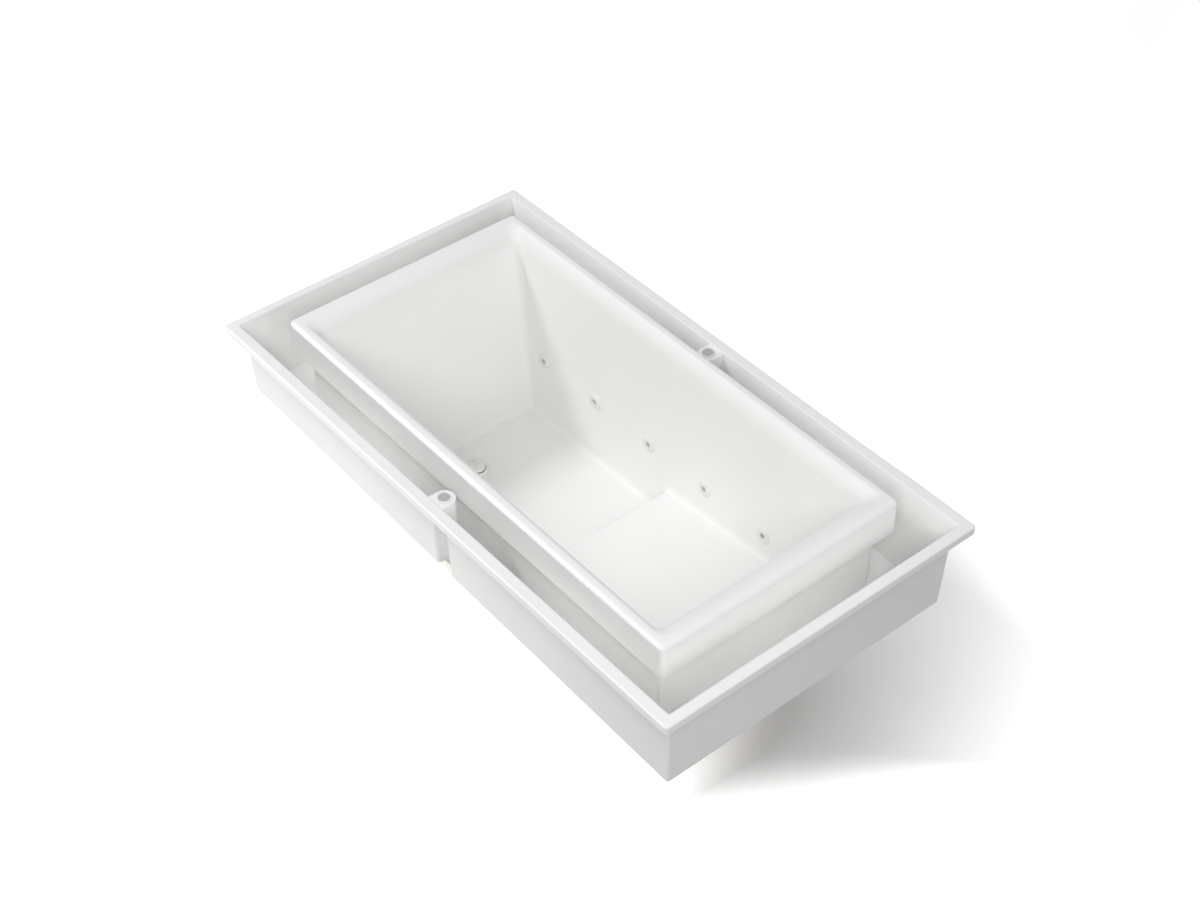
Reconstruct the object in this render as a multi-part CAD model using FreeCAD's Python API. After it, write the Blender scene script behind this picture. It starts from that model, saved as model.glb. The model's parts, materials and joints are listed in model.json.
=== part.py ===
"""Overflow bathtub: a deep basin with a bench stands inside a trough that catches
the water running over its rim. +X points along the length to the bench end, +Y to
the far long side and +Z up. The origin is on the floor, below the middle of the bath.
All sizes are in millimetres."""

import FreeCAD
import Part
import math
import os

V = FreeCAD.Vector

# Overall sizes
OVERALL_LENGTH = 1911.0
OVERALL_WIDTH = 1038.0
OVERALL_HEIGHT = 711.0
SHELL = 8.0

# Basin: lip and rolled rim
LIP_HALF_LENGTH = 799.0
LIP_HALF_WIDTH = 396.0
LIP_DROP = 107.0
LIP_CORNER = 15.0
LIP_EDGE_ROUND = 12.0
CREASE_DROP = 57.0
ROLL_RISE = 58.5
END_ROLL = 74.0
SIDE_ROLL = 37.0
ROLL_STEPS = 9
MOUTH_CORNER = 22.0
MOUTH_CORNER_GROWTH = 16.0
END_LEDGE = 2.5
SIDE_LEDGE = 0.6
LEDGE_DROP = 12.0
LEDGE_INSET = 1.0

# Basin: well, bench and floor
CREASE_HALF_LENGTH = 715.0
CREASE_HALF_WIDTH = 344.0
FLOOR_HALF_LENGTH = 619.0
FLOOR_HALF_WIDTH = 301.0
WELL_CORNER = 24.0
WELL_ABOVE_CREASE = 4.0
WELL_BELOW_FLOOR = 40.0
FLOOR_HEIGHT = 129.0
FLOOR_FALL = 10.0 / 520.0
FLOOR_ROUND = 20.0
BENCH_FRONT = 17.0
BENCH_HEIGHT = 228.0
BENCH_SLOPE = 0.085
BENCH_ROUND = 20.0
BENCH_NOSE_ROUND = 8.0
UNDER_NOSE_ROUND = 1.0

# Trough
FLANGE_DROP = 50.0
SKIRT_DEPTH = 25.0
FLANGE_CORNER = 10.0
FLANGE_EDGE_ROUND = 6.0
OPENING_ROUND = 4.0
TROUGH_WALL = 5.0
TROUGH_HALF_LENGTH = 919.0
TROUGH_HALF_WIDTH = 478.5
TROUGH_DRAFT = 0.033
TROUGH_FLARE = 11.5
TROUGH_FLARE_DEPTH = 60.0
TROUGH_CORNER = 7.0
CHANNEL_CORNER = 4.0
TROUGH_BOTTOM_MIDDLE = 405.5
TROUGH_FALL = 48.0 / 1806.0
TROUGH_FLOOR = 9.0
TROUGH_BELOW_BOTTOM = 60.0
INNER_WALL_HALF_LENGTH = 756.0
INNER_WALL_HALF_WIDTH = 364.0
INNER_WALL_CORNER = 12.0
INNER_WALL = 6.0
INNER_WALL_TOP = 670.0

# Button bosses
BUTTON_X = 8.0
BUTTON_Y = 454.0
BOSS_RADIUS = 30.0
BOSS_TOP = 655.0
BOSS_RECESS_RADIUS = 25.0
BOSS_RECESS_ROUND = 11.0
BUTTON_HOLE = 17.2

# Buttons, measured from the top of their boss
HOUSING_FLANGE = 19.2
HOUSING_RISE = 4.0
HOUSING_EDGE_ROUND = 2.0
HOUSING_COLLAR = 17.0
HOUSING_BORE = 15.9
HOUSING_BOTTOM = -34.0
SHELF_TOP = -16.0
SHELF_BOTTOM = -20.0
CAP_RADIUS = 15.5
CAP_RISE = 5.0
CAP_EDGE_ROUND = 1.5
CAP_BOTTOM = -9.5
CAP_STEM = 4.0
CAP_STEM_END = -23.0
STEM_CLEARANCE = 2.0
BUTTON_NUT_FLATS = 36.5
SWITCH_TOP = -27.0
SWITCH_BOTTOM = -56.0
SWITCH_TAIL = 5.0
SWITCH_TAIL_END = -66.0
SPRING_FOOT = (6.4, 11.0)
SPRING_HEAD = (5.2, 8.0)

# Jets
JET_COUNT = 5
JET_FIRST_X = -564.0
JET_PITCH = 242.0
JET_HEIGHT = 331.0
JET_RING_RADIUS = 24.5
JET_RING_PROUD = 5.0
JET_RING_EDGE = 1.0
JET_RING_ROUND = 7.0
JET_HOLE = 20.5
JET_BODY_RADIUS = 20.0
JET_BODY_DEPTH = 26.0
JET_BALL = 15.0
JET_SEAT = 15.35
JET_BALL_DEPTH = 3.0
NOZZLE_FACE = 4.5
NOZZLE_BACK = -13.0
NOZZLE_BORE = 9.0
JET_TUBE = 11.0
JET_TUBE_BORE = 8.5
JET_GASKET = 2.0
JET_GASKET_EDGE = 2.0
JET_NUT = 9.0

# Water pipes and heater
PIPE = 20.0
PIPE_BORE = 17.0
BEND_RADIUS = 38.0
MANIFOLD_Y = 368.0
MANIFOLD_START = -690.0
MANIFOLD_END_X = -724.0
MANIFOLD_BEND = 32.0
MANIFOLD_CAP = 6.0
HEATER_GAP = 40.0
HEATER_RADIUS = 30.0
HEATER_LENGTH = 100.0
HEATER_WALL = 3.0
HEATER_NECK = 8.0
HEATER_CONE = 10.0
TERMINAL_HALF_WIDTH = 12.0
TERMINAL_RISE = 14.0
TERMINAL_ENDS = (30.0, 70.0)

# Drain, measured from the floor's top
DRAIN_X = -495.0
DRAIN_FLANGE = 40.0
DRAIN_FLANGE_EDGE = 1.0
DRAIN_FLANGE_CROWN = 3.2
DRAIN_FLANGE_ROUND = 5.0
DRAIN_DISH = 27.5
DRAIN_THROAT = -8.0
DRAIN_BODY = 23.0
DRAIN_BORE = 19.5
DRAIN_BODY_END = -52.0
DRAIN_CLEARANCE = 0.5
GUIDE_RADIUS = 7.0
GUIDE_ENDS = (-30.0, -18.0)
GUIDE_CLEARANCE = 0.06
SPOKE_COUNT = 3
SPOKE_HALF_WIDTH = 1.5
SPOKE_ENDS = (-28.0, -22.0)
STOPPER_RADIUS = 27.0
STOPPER_RISE = 8.4
STOPPER_RIM = 7.4
STOPPER_RIM_ROUND = 6.0
STOPPER_EDGE = 4.4
STOPPER_UNDER = 2.0
STOPPER_STEM = 4.0
STOPPER_STEM_END = -34.0
DRAIN_GASKET = 4.0
SHOE_WALL = 6.0
SHOE_BOTTOM = -62.0
SHOE_FLOOR = 4.0
DRAIN_OUTLET_DROP = 40.0
SHOE_STUB = 48.0
TAILPIECE_END = -617.0
TAILPIECE_SPIGOT = 19.3
TAILPIECE_SPIGOT_START = 30.0
SOCKET_WALL = 3.0

# Suction in the trough's lowest corner, measured from the trough's floor
SUCTION_X = 830.0
SUCTION_Y = 413.0
SUCTION_COVER = 40.0
SUCTION_COVER_HEIGHT = 14.0
SUCTION_COVER_SIDE = 7.0
SUCTION_COVER_ROUND = 12.0
SUCTION_COVER_WALL = 3.0
SUCTION_SLOTS = 12
SUCTION_SLOT_START = 9.0
SUCTION_SLOT_HALF_WIDTH = 2.0
SUCTION_NECK = 24.0
SUCTION_FLANGE = 36.0
SUCTION_FLANGE_HEIGHT = 4.0
SUCTION_NUT = 8.0
SUCTION_CLEARANCE = 0.5
SUCTION_OUTLET_DROP = 48.0
SUCTION_CUP_END = -76.0
SUCTION_CUP_FLOOR = 4.0
SUCTION_SOCKET = 44.0
SUCTION_SOCKET_START = 28.0
SUCTION_LEG_X = 690.0

# Pump
PUMP_X = 600.0
PUMP_Z = 180.0
VOLUTE_RADIUS = 66.0
VOLUTE_LENGTH = 56.0
VOLUTE_WALL = 8.0
INLET_LENGTH = 22.0
OUTLET_REACH = 80.0
OUTLET_RISE = 42.0
OUTLET_WALL = 2.0
MOTOR_PLATE = 12.0
MOTOR_RADIUS = 58.0
MOTOR_LENGTH = 220.0
MOTOR_FOOT_LENGTH = 40.0
MOTOR_FOOT_INSET = 20.0
MOTOR_FOOT_TOP = 30.0
SHAFT_RADIUS = 8.0
SHAFT_DEPTH = 118.0
SHAFT_CLEARANCE = 0.08
SHAFT_END_GAP = 2.0
IMPELLER_RADIUS = 48.0
IMPELLER_BACK = -14.0
IMPELLER_PLATE = 4.0
VANE_COUNT = 6
VANE_TOP = 6.0
VANE_HALF_WIDTH = 1.5
VANE_OVERLAP = 2.0
FAN_COVER_LENGTH = 40.0
FAN_COVER_WALL = 3.0
VENT_COUNT = 8
VENT_START = 16.0
VENT_END = 44.0
VENT_HALF_WIDTH = 5.0

# Cradle
RAIL_Y = 165.0
RAIL = 30.0
RAIL_WALL = 2.5
RAIL_BOTTOM = 70.0
RAIL_START = -600.0
RAIL_END = 600.0
CROSSBAR_PLACES = (-400.0, -60.0, 575.0)
BEARER_PLACES = (230.0, 500.0)
BEARER_HALF_LENGTH = 220.0
BEARER_HEIGHT = 20.0
BASE_BOARD_START = -575.0
BASE_BOARD_END = 0.0
BASE_BOARD_HALF_WIDTH = 220.0
BASE_BOARD_CLEARANCE = 8.0
PUMP_BOARD_ENDS = (280.0, 650.0)
PUMP_BOARD_SIDES = (-190.0, 290.0)
PUMP_BOARD_THICKNESS = 12.0
FOOT_PLACES = (-560.0, 0.0, 545.0)
FOOT_PAD = 25.0
FOOT_PAD_EDGE = 5.0
FOOT_CONE = 15.0
FOOT_CONE_TOP = 11.0
FOOT_STUD = 6.0
FOOT_STUD_START = 13.0
FOOT_STUD_GAP = 10.0
STUD_HOLE = 6.5
LOCK_NUT_FLATS = 19.0
LOCK_NUT = 10.0

# Control box
CONTROL_BOX_X = 330.0
CONTROL_BOX_Y = 205.0
CONTROL_BOX_LENGTH = 120.0
CONTROL_BOX_DEPTH = 60.0
CONTROL_BOX_HEIGHT = 100.0
CONTROL_BOX_CORNER = 5.0
INLET_COUNT = 3
INLET_RADIUS = 8.0
INLET_BORE = 4.0
INLET_RISE = 12.0
INLET_BLIND = 4.0

# Heights and drafts that follow from the sizes above
RIM_TOP = OVERALL_HEIGHT
LIP_BOTTOM = RIM_TOP - LIP_DROP
CREASE_HEIGHT = RIM_TOP - CREASE_DROP
FLANGE_TOP = RIM_TOP - FLANGE_DROP
SKIRT_BOTTOM = FLANGE_TOP - SKIRT_DEPTH
FLARE_BOTTOM = FLANGE_TOP - TROUGH_FLARE_DEPTH
TROUGH_LOW = TROUGH_BOTTOM_MIDDLE - TROUGH_BELOW_BOTTOM
RAIL_TOP = RAIL_BOTTOM + RAIL
BOARD_TOP = RAIL_TOP + PUMP_BOARD_THICKNESS
END_DRAFT = (CREASE_HALF_LENGTH - FLOOR_HALF_LENGTH) / (CREASE_HEIGHT - FLOOR_HEIGHT)
SIDE_DRAFT = (CREASE_HALF_WIDTH - FLOOR_HALF_WIDTH) / (CREASE_HEIGHT - FLOOR_HEIGHT)
FAR = 3000.0
NEAR_ENOUGH = 0.01
SIDES = {"near": -1.0, "far": 1.0}

NODES = {}


def keep(name, shape):
    """Files a finished sub-part under its name."""
    NODES[name] = shape


def group(shapes):
    return Part.makeCompound(shapes)


def rounded_rectangle(half_length, half_width, radius, z):
    """Closed outline of a rectangle with round corners, centred on the Z axis."""
    a = half_length - radius
    b = half_width - radius
    d = radius * math.sqrt(0.5)
    spots = []
    for sx, sy, turned in ((1, 1, False), (-1, 1, True), (-1, -1, False), (1, -1, True)):
        ends = [V(sx * half_length, sy * b, z), V(sx * a, sy * half_width, z)]
        if turned:
            ends.reverse()
        spots.append((ends[0], V(sx * (a + d), sy * (b + d), z), ends[1]))
    edges = []
    for corner, following in zip(spots, spots[1:] + spots[:1]):
        edges.append(Part.Arc(*corner).toShape())
        edges.append(Part.LineSegment(corner[2], following[0]).toShape())
    return Part.Wire(edges)


def rounded_prism(half_length, half_width, radius, bottom, top):
    face = Part.Face(rounded_rectangle(half_length, half_width, radius, bottom))
    return face.extrude(V(0, 0, top - bottom))


def rounded_ring(half_length, half_width, radius, wall, bottom, top):
    outside = rounded_prism(half_length, half_width, radius, bottom, top)
    inside = rounded_prism(half_length - wall, half_width - wall, radius - wall, bottom, top)
    return outside.cut(inside)


def side_profile(points, half_width):
    """Solid with the outline points (x, z), running across the bath in Y."""
    outline = [V(x, -half_width, z) for x, z in points]
    face = Part.Face(Part.makePolygon(outline + outline[:1]))
    return face.extrude(V(0, 2 * half_width, 0))


def rounded_off(start, corner, end):
    """Step of a turned outline that goes from start to end by an arc inside their corner."""
    pull = 1.0 - math.sqrt(0.5)
    middle = tuple(c + (s - c) * pull + (e - c) * pull for s, c, e in zip(start, corner, end))
    return middle, end


def lathe(points):
    """Solid turned about Z from (r, z) points; a pair of points is an arc through the first
    to the second."""
    edges = []
    here = points[0]
    for step in list(points[1:]) + [points[0]]:
        curved = isinstance(step[0], tuple)
        end = step[1] if curved else step
        start_point = V(here[0], 0, here[1])
        end_point = V(end[0], 0, end[1])
        if curved:
            edges.append(Part.Arc(start_point, V(step[0][0], 0, step[0][1]), end_point).toShape())
        elif end != here:
            edges.append(Part.LineSegment(start_point, end_point).toShape())
        here = end
    face = Part.Face(Part.Wire(edges))
    return face.revolve(V(0, 0, 0), V(0, 0, 1), 360)


def cylinder(radius, start, end):
    direction = end - start
    return Part.makeCylinder(radius, direction.Length, start, direction)


def upright(radius, bottom, top):
    """Cylinder on the Z axis."""
    return cylinder(radius, V(0, 0, bottom), V(0, 0, top))


def hexagon_nut(across_flats, bore, bottom, top):
    corner = across_flats / math.sqrt(3.0)
    angles = [math.radians(60 * k) for k in range(6)]
    points = [V(corner * math.cos(angle), corner * math.sin(angle), bottom) for angle in angles]
    face = Part.Face(Part.makePolygon(points + points[:1]))
    return face.extrude(V(0, 0, top - bottom)).cut(upright(bore, bottom, top))


def box(x0, x1, y0, y1, z0, z1):
    return Part.makeBox(x1 - x0, y1 - y0, z1 - z0, V(x0, y0, z0))


def placed(shape, place):
    moved = shape.copy()
    moved.Placement = place.multiply(moved.Placement)
    return moved


def turned(shape, centre, axis, angle):
    moved = shape.copy()
    moved.rotate(centre, axis, angle)
    return moved


def pipe_path(points, radius):
    """Straight runs joined by tangent arcs of one radius."""
    edges = []
    here = points[0]
    for before, corner, after in zip(points, points[1:], points[2:]):
        back = (before - corner).normalize()
        ahead = (after - corner).normalize()
        half_turn = (math.pi - back.getAngle(ahead)) / 2
        trim = radius * math.tan(half_turn)
        start = corner + back * trim
        end = corner + ahead * trim
        middle = corner + (back + ahead).normalize() * (radius / math.cos(half_turn) - radius)
        edges.append(Part.LineSegment(here, start).toShape())
        edges.append(Part.Arc(start, middle, end).toShape())
        here = end
    edges.append(Part.LineSegment(here, points[-1]).toShape())
    return Part.Wire(edges)


def swept_rod(points, radius, bend):
    path = pipe_path(points, bend)
    section = Part.Wire(Part.Circle(points[0], points[1] - points[0], radius).toShape())
    return path.makePipeShell([section], True, False)


def bent_pipe(points, bend):
    return swept_rod(points, PIPE, bend).cut(swept_rod(points, PIPE_BORE, bend))


def fillet_where(solid, radius, wanted):
    """Rounds every edge whose inner points all satisfy the test."""
    edges = []
    for edge in solid.Edges:
        first, last = edge.ParameterRange
        spots = [edge.valueAt(first + (last - first) * share) for share in (0.1, 0.3, 0.5, 0.7, 0.9)]
        if all(wanted(spot) for spot in spots):
            edges.append(edge)
    return solid.makeFillet(radius, edges)


# Basin

def floor_height(x):
    return FLOOR_HEIGHT + FLOOR_FALL * (x - DRAIN_X)


def bench_height(x):
    return BENCH_HEIGHT + BENCH_SLOPE * (x - BENCH_FRONT)


def wall_half_length(z):
    return CREASE_HALF_LENGTH - (CREASE_HEIGHT - z) * END_DRAFT


def wall_half_width(z):
    return CREASE_HALF_WIDTH - (CREASE_HEIGHT - z) * SIDE_DRAFT


def well(grow):
    """Space of the deep well and of the part above the bench; grow thickens it by the shell."""
    front = BENCH_FRONT + grow
    nose_round = max(BENCH_NOSE_ROUND - grow, UNDER_NOSE_ROUND)

    def ground(x):
        return floor_height(x) - grow

    def seat(x):
        return bench_height(x) - grow

    def on_floor(p):
        return abs(p.z - ground(p.x)) < NEAR_ENOUGH

    def on_bench(p):
        return abs(p.z - seat(p.x)) < NEAR_ENOUGH and p.x > front + 1.0

    def on_nose(p):
        inside = abs(p.y) < wall_half_width(p.z) + grow - 0.2
        return abs(p.x - front) < NEAR_ENOUGH and p.z > seat(front) - NEAR_ENOUGH and inside

    sections = []
    for z in (CREASE_HEIGHT + WELL_ABOVE_CREASE, FLOOR_HEIGHT - WELL_BELOW_FLOOR):
        sections.append(rounded_rectangle(wall_half_length(z) + grow, wall_half_width(z) + grow,
                                          WELL_CORNER + grow, z))
    space = Part.makeLoft(sections, True, True)
    below = [(-FAR, ground(-FAR)), (FAR, ground(FAR)), (FAR, -FAR), (-FAR, -FAR)]
    space = fillet_where(space.cut(side_profile(below, FAR)), FLOOR_ROUND + grow, on_floor)
    bench = [(front, seat(front)), (FAR, seat(FAR)), (FAR, -FAR), (front, -FAR)]
    space = fillet_where(space.cut(side_profile(bench, FAR)), BENCH_ROUND + grow, on_bench)
    return fillet_where(space, nose_round, on_nose)


def mouth(grow, top):
    """Space inside the rolled rim: a quarter ellipse all round, with a small ledge below it."""
    ledge = CREASE_HEIGHT - LEDGE_DROP
    sections = [rounded_rectangle(wall_half_length(ledge) - LEDGE_INSET + grow,
                                  wall_half_width(ledge) - LEDGE_INSET + grow, WELL_CORNER + grow, ledge)]
    for step in range(ROLL_STEPS + 1):
        z = CREASE_HEIGHT + (top - CREASE_HEIGHT) * math.sin(0.5 * math.pi * step / ROLL_STEPS)
        reach = 1.0 - math.sqrt(1.0 - ((z - CREASE_HEIGHT) / ROLL_RISE) ** 2)
        half_length = CREASE_HALF_LENGTH + END_LEDGE + END_ROLL * reach + grow
        half_width = CREASE_HALF_WIDTH + SIDE_LEDGE + SIDE_ROLL * reach + grow
        corner = MOUTH_CORNER + MOUTH_CORNER_GROWTH * reach + grow
        sections.append(rounded_rectangle(half_length, half_width, corner, z))
    return Part.makeLoft(sections, True, True)


def jet_place(side, index):
    """Local frame of a jet: origin on the wall's inner face, Z pointing into the basin."""
    tilt = math.atan(SIDE_DRAFT)
    inward = V(0, -side * math.cos(tilt), math.sin(tilt))
    spot = V(JET_FIRST_X + JET_PITCH * index, side * wall_half_width(JET_HEIGHT), JET_HEIGHT)
    return FreeCAD.Placement(spot, FreeCAD.Rotation(V(0, 0, 1), inward))


def drain_place():
    """Local frame of the drain: origin on the floor's top, Z square to the floor."""
    tilt = math.degrees(math.atan(FLOOR_FALL))
    return FreeCAD.Placement(V(DRAIN_X, 0, FLOOR_HEIGHT), FreeCAD.Rotation(V(0, 1, 0), -tilt))


def make_basin():
    lip = rounded_prism(LIP_HALF_LENGTH, LIP_HALF_WIDTH, LIP_CORNER, LIP_BOTTOM, RIM_TOP)
    lip = fillet_where(lip, LIP_EDGE_ROUND, lambda p: abs(p.z - RIM_TOP) < NEAR_ENOUGH)
    pocket = rounded_prism(LIP_HALF_LENGTH - SHELL, LIP_HALF_WIDTH - SHELL, LIP_CORNER - SHELL,
                           LIP_BOTTOM, RIM_TOP - SHELL)
    outer_mouth = mouth(SHELL, RIM_TOP - 1.0)
    shell = lip.cut(pocket).fuse([outer_mouth, well(SHELL)])
    shell = shell.cut(mouth(0.0, RIM_TOP)).cut(well(0.0))
    jet_hole = upright(JET_HOLE, -3 * SHELL, 3 * SHELL)
    for side in SIDES.values():
        for index in range(JET_COUNT):
            shell = shell.cut(placed(jet_hole, jet_place(side, index)))
    drain_hole = upright(DRAIN_BODY + DRAIN_CLEARANCE, -3 * SHELL, 3 * SHELL)
    keep("basin_shell", shell.cut(placed(drain_hole, drain_place())))
    seal = rounded_ring(INNER_WALL_HALF_LENGTH, INNER_WALL_HALF_WIDTH, INNER_WALL_CORNER, INNER_WALL,
                        INNER_WALL_TOP, RIM_TOP - SHELL)
    keep("rim_seal", seal.cut(outer_mouth))


# Trough

def trough_bottom(x):
    return TROUGH_BOTTOM_MIDDLE - TROUGH_FALL * x


def trough_floor(x):
    return trough_bottom(x) + TROUGH_FLOOR


def wall_offset(z):
    """How far the trough's outer face stands out at a height: drafted, and flared below the flange."""
    depth = FLANGE_TOP - z
    return TROUGH_FLARE * max(0.0, 1.0 - depth / TROUGH_FLARE_DEPTH) - depth * TROUGH_DRAFT


def trough_space(inset, radius):
    """Space inside an outline of the trough's outer wall, from below it to the flange's top."""
    sections = []
    for z in (FLANGE_TOP, FLARE_BOTTOM, TROUGH_LOW):
        offset = wall_offset(z) - inset
        sections.append(rounded_rectangle(TROUGH_HALF_LENGTH + offset, TROUGH_HALF_WIDTH + offset,
                                          radius, z))
    return Part.makeLoft(sections, True, True)


def below_trough(height):
    corners = [(-FAR, height(-FAR)), (FAR, height(FAR)), (FAR, -2 * FAR), (-FAR, -2 * FAR)]
    return side_profile(corners, FAR)


def boss_block(side, radius, top, reach):
    """Upright half-round block that stands on the outer wall, from the given reach in Y inwards."""
    round_nose = cylinder(radius, V(BUTTON_X, side * BUTTON_Y, 0), V(BUTTON_X, side * BUTTON_Y, top))
    low, high = sorted((side * BUTTON_Y, side * reach))
    return round_nose.fuse(box(BUTTON_X - radius, BUTTON_X + radius, low, high, 0, top))


def recess_section(side, z):
    """Outline that rounds the two upright edges of a boss's recess where it opens through the wall."""
    face = TROUGH_HALF_WIDTH + wall_offset(z)
    inner = BOSS_RECESS_RADIUS
    outer = BOSS_RECESS_RADIUS + BOSS_RECESS_ROUND
    bulge = BOSS_RECESS_ROUND * (1.0 - math.sqrt(0.5))
    back = face - BOSS_RECESS_ROUND
    front = face + SHELL

    def spot(x, y):
        return V(BUTTON_X + x, side * y, z)

    def line(start, end):
        return Part.LineSegment(spot(*start), spot(*end)).toShape()

    edges = [line((-inner, back), (inner, back)), line((-outer, front), (outer, front))]
    for sx in (-1.0, 1.0):
        middle = spot(sx * (inner + bulge), face - bulge)
        edges.append(Part.Arc(spot(sx * outer, face), middle, spot(sx * inner, back)).toShape())
        edges.append(line((sx * outer, face), (sx * outer, front)))
    return Part.Wire(Part.__sortEdges__(edges))


def recess_flare(side):
    heights = (BOSS_TOP - SHELL, FLARE_BOTTOM, TROUGH_LOW)
    return Part.makeLoft([recess_section(side, z) for z in heights], True, True)


def suction_place():
    """Local frame of the suction: origin on the trough's floor, Z square to it."""
    tilt = math.degrees(math.atan(TROUGH_FALL))
    spot = V(SUCTION_X, SUCTION_Y, trough_floor(SUCTION_X))
    return FreeCAD.Placement(spot, FreeCAD.Rotation(V(0, 1, 0), tilt))


def make_flange():
    half_length = OVERALL_LENGTH / 2
    half_width = OVERALL_WIDTH / 2
    flange = rounded_prism(half_length, half_width, FLANGE_CORNER, SKIRT_BOTTOM, FLANGE_TOP)
    flange = fillet_where(flange, FLANGE_EDGE_ROUND, lambda p: abs(p.z - FLANGE_TOP) < NEAR_ENOUGH)
    return flange.cut(rounded_prism(half_length - SHELL, half_width - SHELL, FLANGE_CORNER - SHELL,
                                    SKIRT_BOTTOM, FLANGE_TOP - SHELL))


def make_trough():
    outside = trough_space(0.0, TROUGH_CORNER).cut(below_trough(trough_bottom))
    channel = trough_space(TROUGH_WALL, CHANNEL_CORNER).cut(below_trough(trough_floor))
    opening_length = TROUGH_HALF_LENGTH + TROUGH_FLARE - TROUGH_WALL
    opening_width = TROUGH_HALF_WIDTH + TROUGH_FLARE - TROUGH_WALL

    def on_opening(p):
        inside = abs(p.x) < opening_length + 1.0 and abs(p.y) < opening_width + 1.0
        return inside and abs(p.z - FLANGE_TOP) < NEAR_ENOUGH

    trough = fillet_where(make_flange().fuse(outside).cut(channel), OPENING_ROUND, on_opening)
    basin_hole = rounded_prism(INNER_WALL_HALF_LENGTH - INNER_WALL, INNER_WALL_HALF_WIDTH - INNER_WALL,
                               INNER_WALL_CORNER - INNER_WALL, 0, RIM_TOP)
    inner_wall = rounded_ring(INNER_WALL_HALF_LENGTH, INNER_WALL_HALF_WIDTH, INNER_WALL_CORNER,
                              INNER_WALL, 0, INNER_WALL_TOP)
    trough = trough.cut(basin_hole).fuse(inner_wall.cut(below_trough(trough_bottom)))
    for side in SIDES.values():
        boss = boss_block(side, BOSS_RADIUS, BOSS_TOP, OVERALL_WIDTH / 2).common(outside)
        recess_reach = TROUGH_HALF_WIDTH + TROUGH_FLARE + SHELL
        recess = boss_block(side, BOSS_RECESS_RADIUS, BOSS_TOP - SHELL, recess_reach)
        foot = V(BUTTON_X, side * BUTTON_Y, 0)
        hole = cylinder(BUTTON_HOLE, foot, foot + V(0, 0, RIM_TOP))
        trough = trough.fuse(boss).cut([recess, recess_flare(side), hole])
    suction_hole = upright(SUCTION_NECK + SUCTION_CLEARANCE, -3 * SHELL, 3 * SHELL)
    keep("overflow_trough", trough.cut(placed(suction_hole, suction_place())))


# Buttons

def button_housing():
    edge = HOUSING_RISE - HOUSING_EDGE_ROUND
    crown = HOUSING_FLANGE - HOUSING_EDGE_ROUND
    guide = CAP_STEM + STEM_CLEARANCE
    return lathe([(HOUSING_BORE, SHELF_TOP), (HOUSING_BORE, HOUSING_RISE), (crown, HOUSING_RISE),
                  rounded_off((crown, HOUSING_RISE), (HOUSING_FLANGE, HOUSING_RISE), (HOUSING_FLANGE, edge)),
                  (HOUSING_FLANGE, 0.0), (HOUSING_COLLAR, 0.0), (HOUSING_COLLAR, HOUSING_BOTTOM),
                  (HOUSING_BORE, HOUSING_BOTTOM), (HOUSING_BORE, SHELF_BOTTOM), (guide, SHELF_BOTTOM),
                  (guide, SHELF_TOP)])


def button_cap():
    edge = CAP_RISE - CAP_EDGE_ROUND
    crown = CAP_RADIUS - CAP_EDGE_ROUND
    return lathe([(0.0, CAP_STEM_END), (CAP_STEM, CAP_STEM_END), (CAP_STEM, CAP_BOTTOM),
                  (CAP_RADIUS, CAP_BOTTOM), (CAP_RADIUS, edge),
                  rounded_off((CAP_RADIUS, edge), (CAP_RADIUS, CAP_RISE), (crown, CAP_RISE)),
                  (0.0, CAP_RISE)])


def button_spring():
    """Silicone dome between the shelf and the cap."""
    return lathe([(SPRING_FOOT[0], SHELF_TOP), (SPRING_FOOT[1], SHELF_TOP),
                  (SPRING_HEAD[1], CAP_BOTTOM), (SPRING_HEAD[0], CAP_BOTTOM)])


def make_buttons():
    housings = []
    nuts = []
    switches = []
    switch = upright(HOUSING_BORE, SWITCH_BOTTOM, SWITCH_TOP)
    switch = switch.fuse(upright(SWITCH_TAIL, SWITCH_TAIL_END, SWITCH_BOTTOM))
    nut = hexagon_nut(BUTTON_NUT_FLATS, HOUSING_COLLAR, -2 * SHELL, -SHELL)
    for name, side in SIDES.items():
        place = FreeCAD.Placement(V(BUTTON_X, side * BUTTON_Y, BOSS_TOP), FreeCAD.Rotation())
        housings.append(placed(button_housing(), place))
        nuts.append(placed(nut, place))
        switches.append(placed(switch, place))
        keep("button_cap_" + name, placed(button_cap(), place))
        keep("button_spring_" + name, placed(button_spring(), place))
    keep("button_housings", group(housings))
    keep("button_nuts", group(nuts))
    keep("switch_bodies", group(switches))


# Jets

def manifold_axis_height():
    """The jets point slightly upwards into the basin, so the pipe behind them lies a little lower."""
    return JET_HEIGHT - (MANIFOLD_Y - wall_half_width(JET_HEIGHT)) * SIDE_DRAFT


def jet_seat():
    return Part.makeSphere(JET_SEAT, V(0, 0, -JET_BALL_DEPTH))


def jet_ring():
    crown = JET_RING_RADIUS - JET_RING_ROUND
    dome = rounded_off((JET_RING_RADIUS, JET_RING_EDGE), (JET_RING_RADIUS, JET_RING_PROUD),
                       (crown, JET_RING_PROUD))
    ring = lathe([(0.0, 0.0), (JET_RING_RADIUS, 0.0), (JET_RING_RADIUS, JET_RING_EDGE), dome,
                  (0.0, JET_RING_PROUD)]).cut(jet_seat())
    return max(ring.Solids, key=lambda solid: solid.Volume)


def jet_nozzle():
    ball = Part.makeSphere(JET_BALL, V(0, 0, -JET_BALL_DEPTH))
    return ball.common(upright(JET_BALL, NOZZLE_BACK, NOZZLE_FACE)).cut(upright(NOZZLE_BORE, -FAR, FAR))


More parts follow.
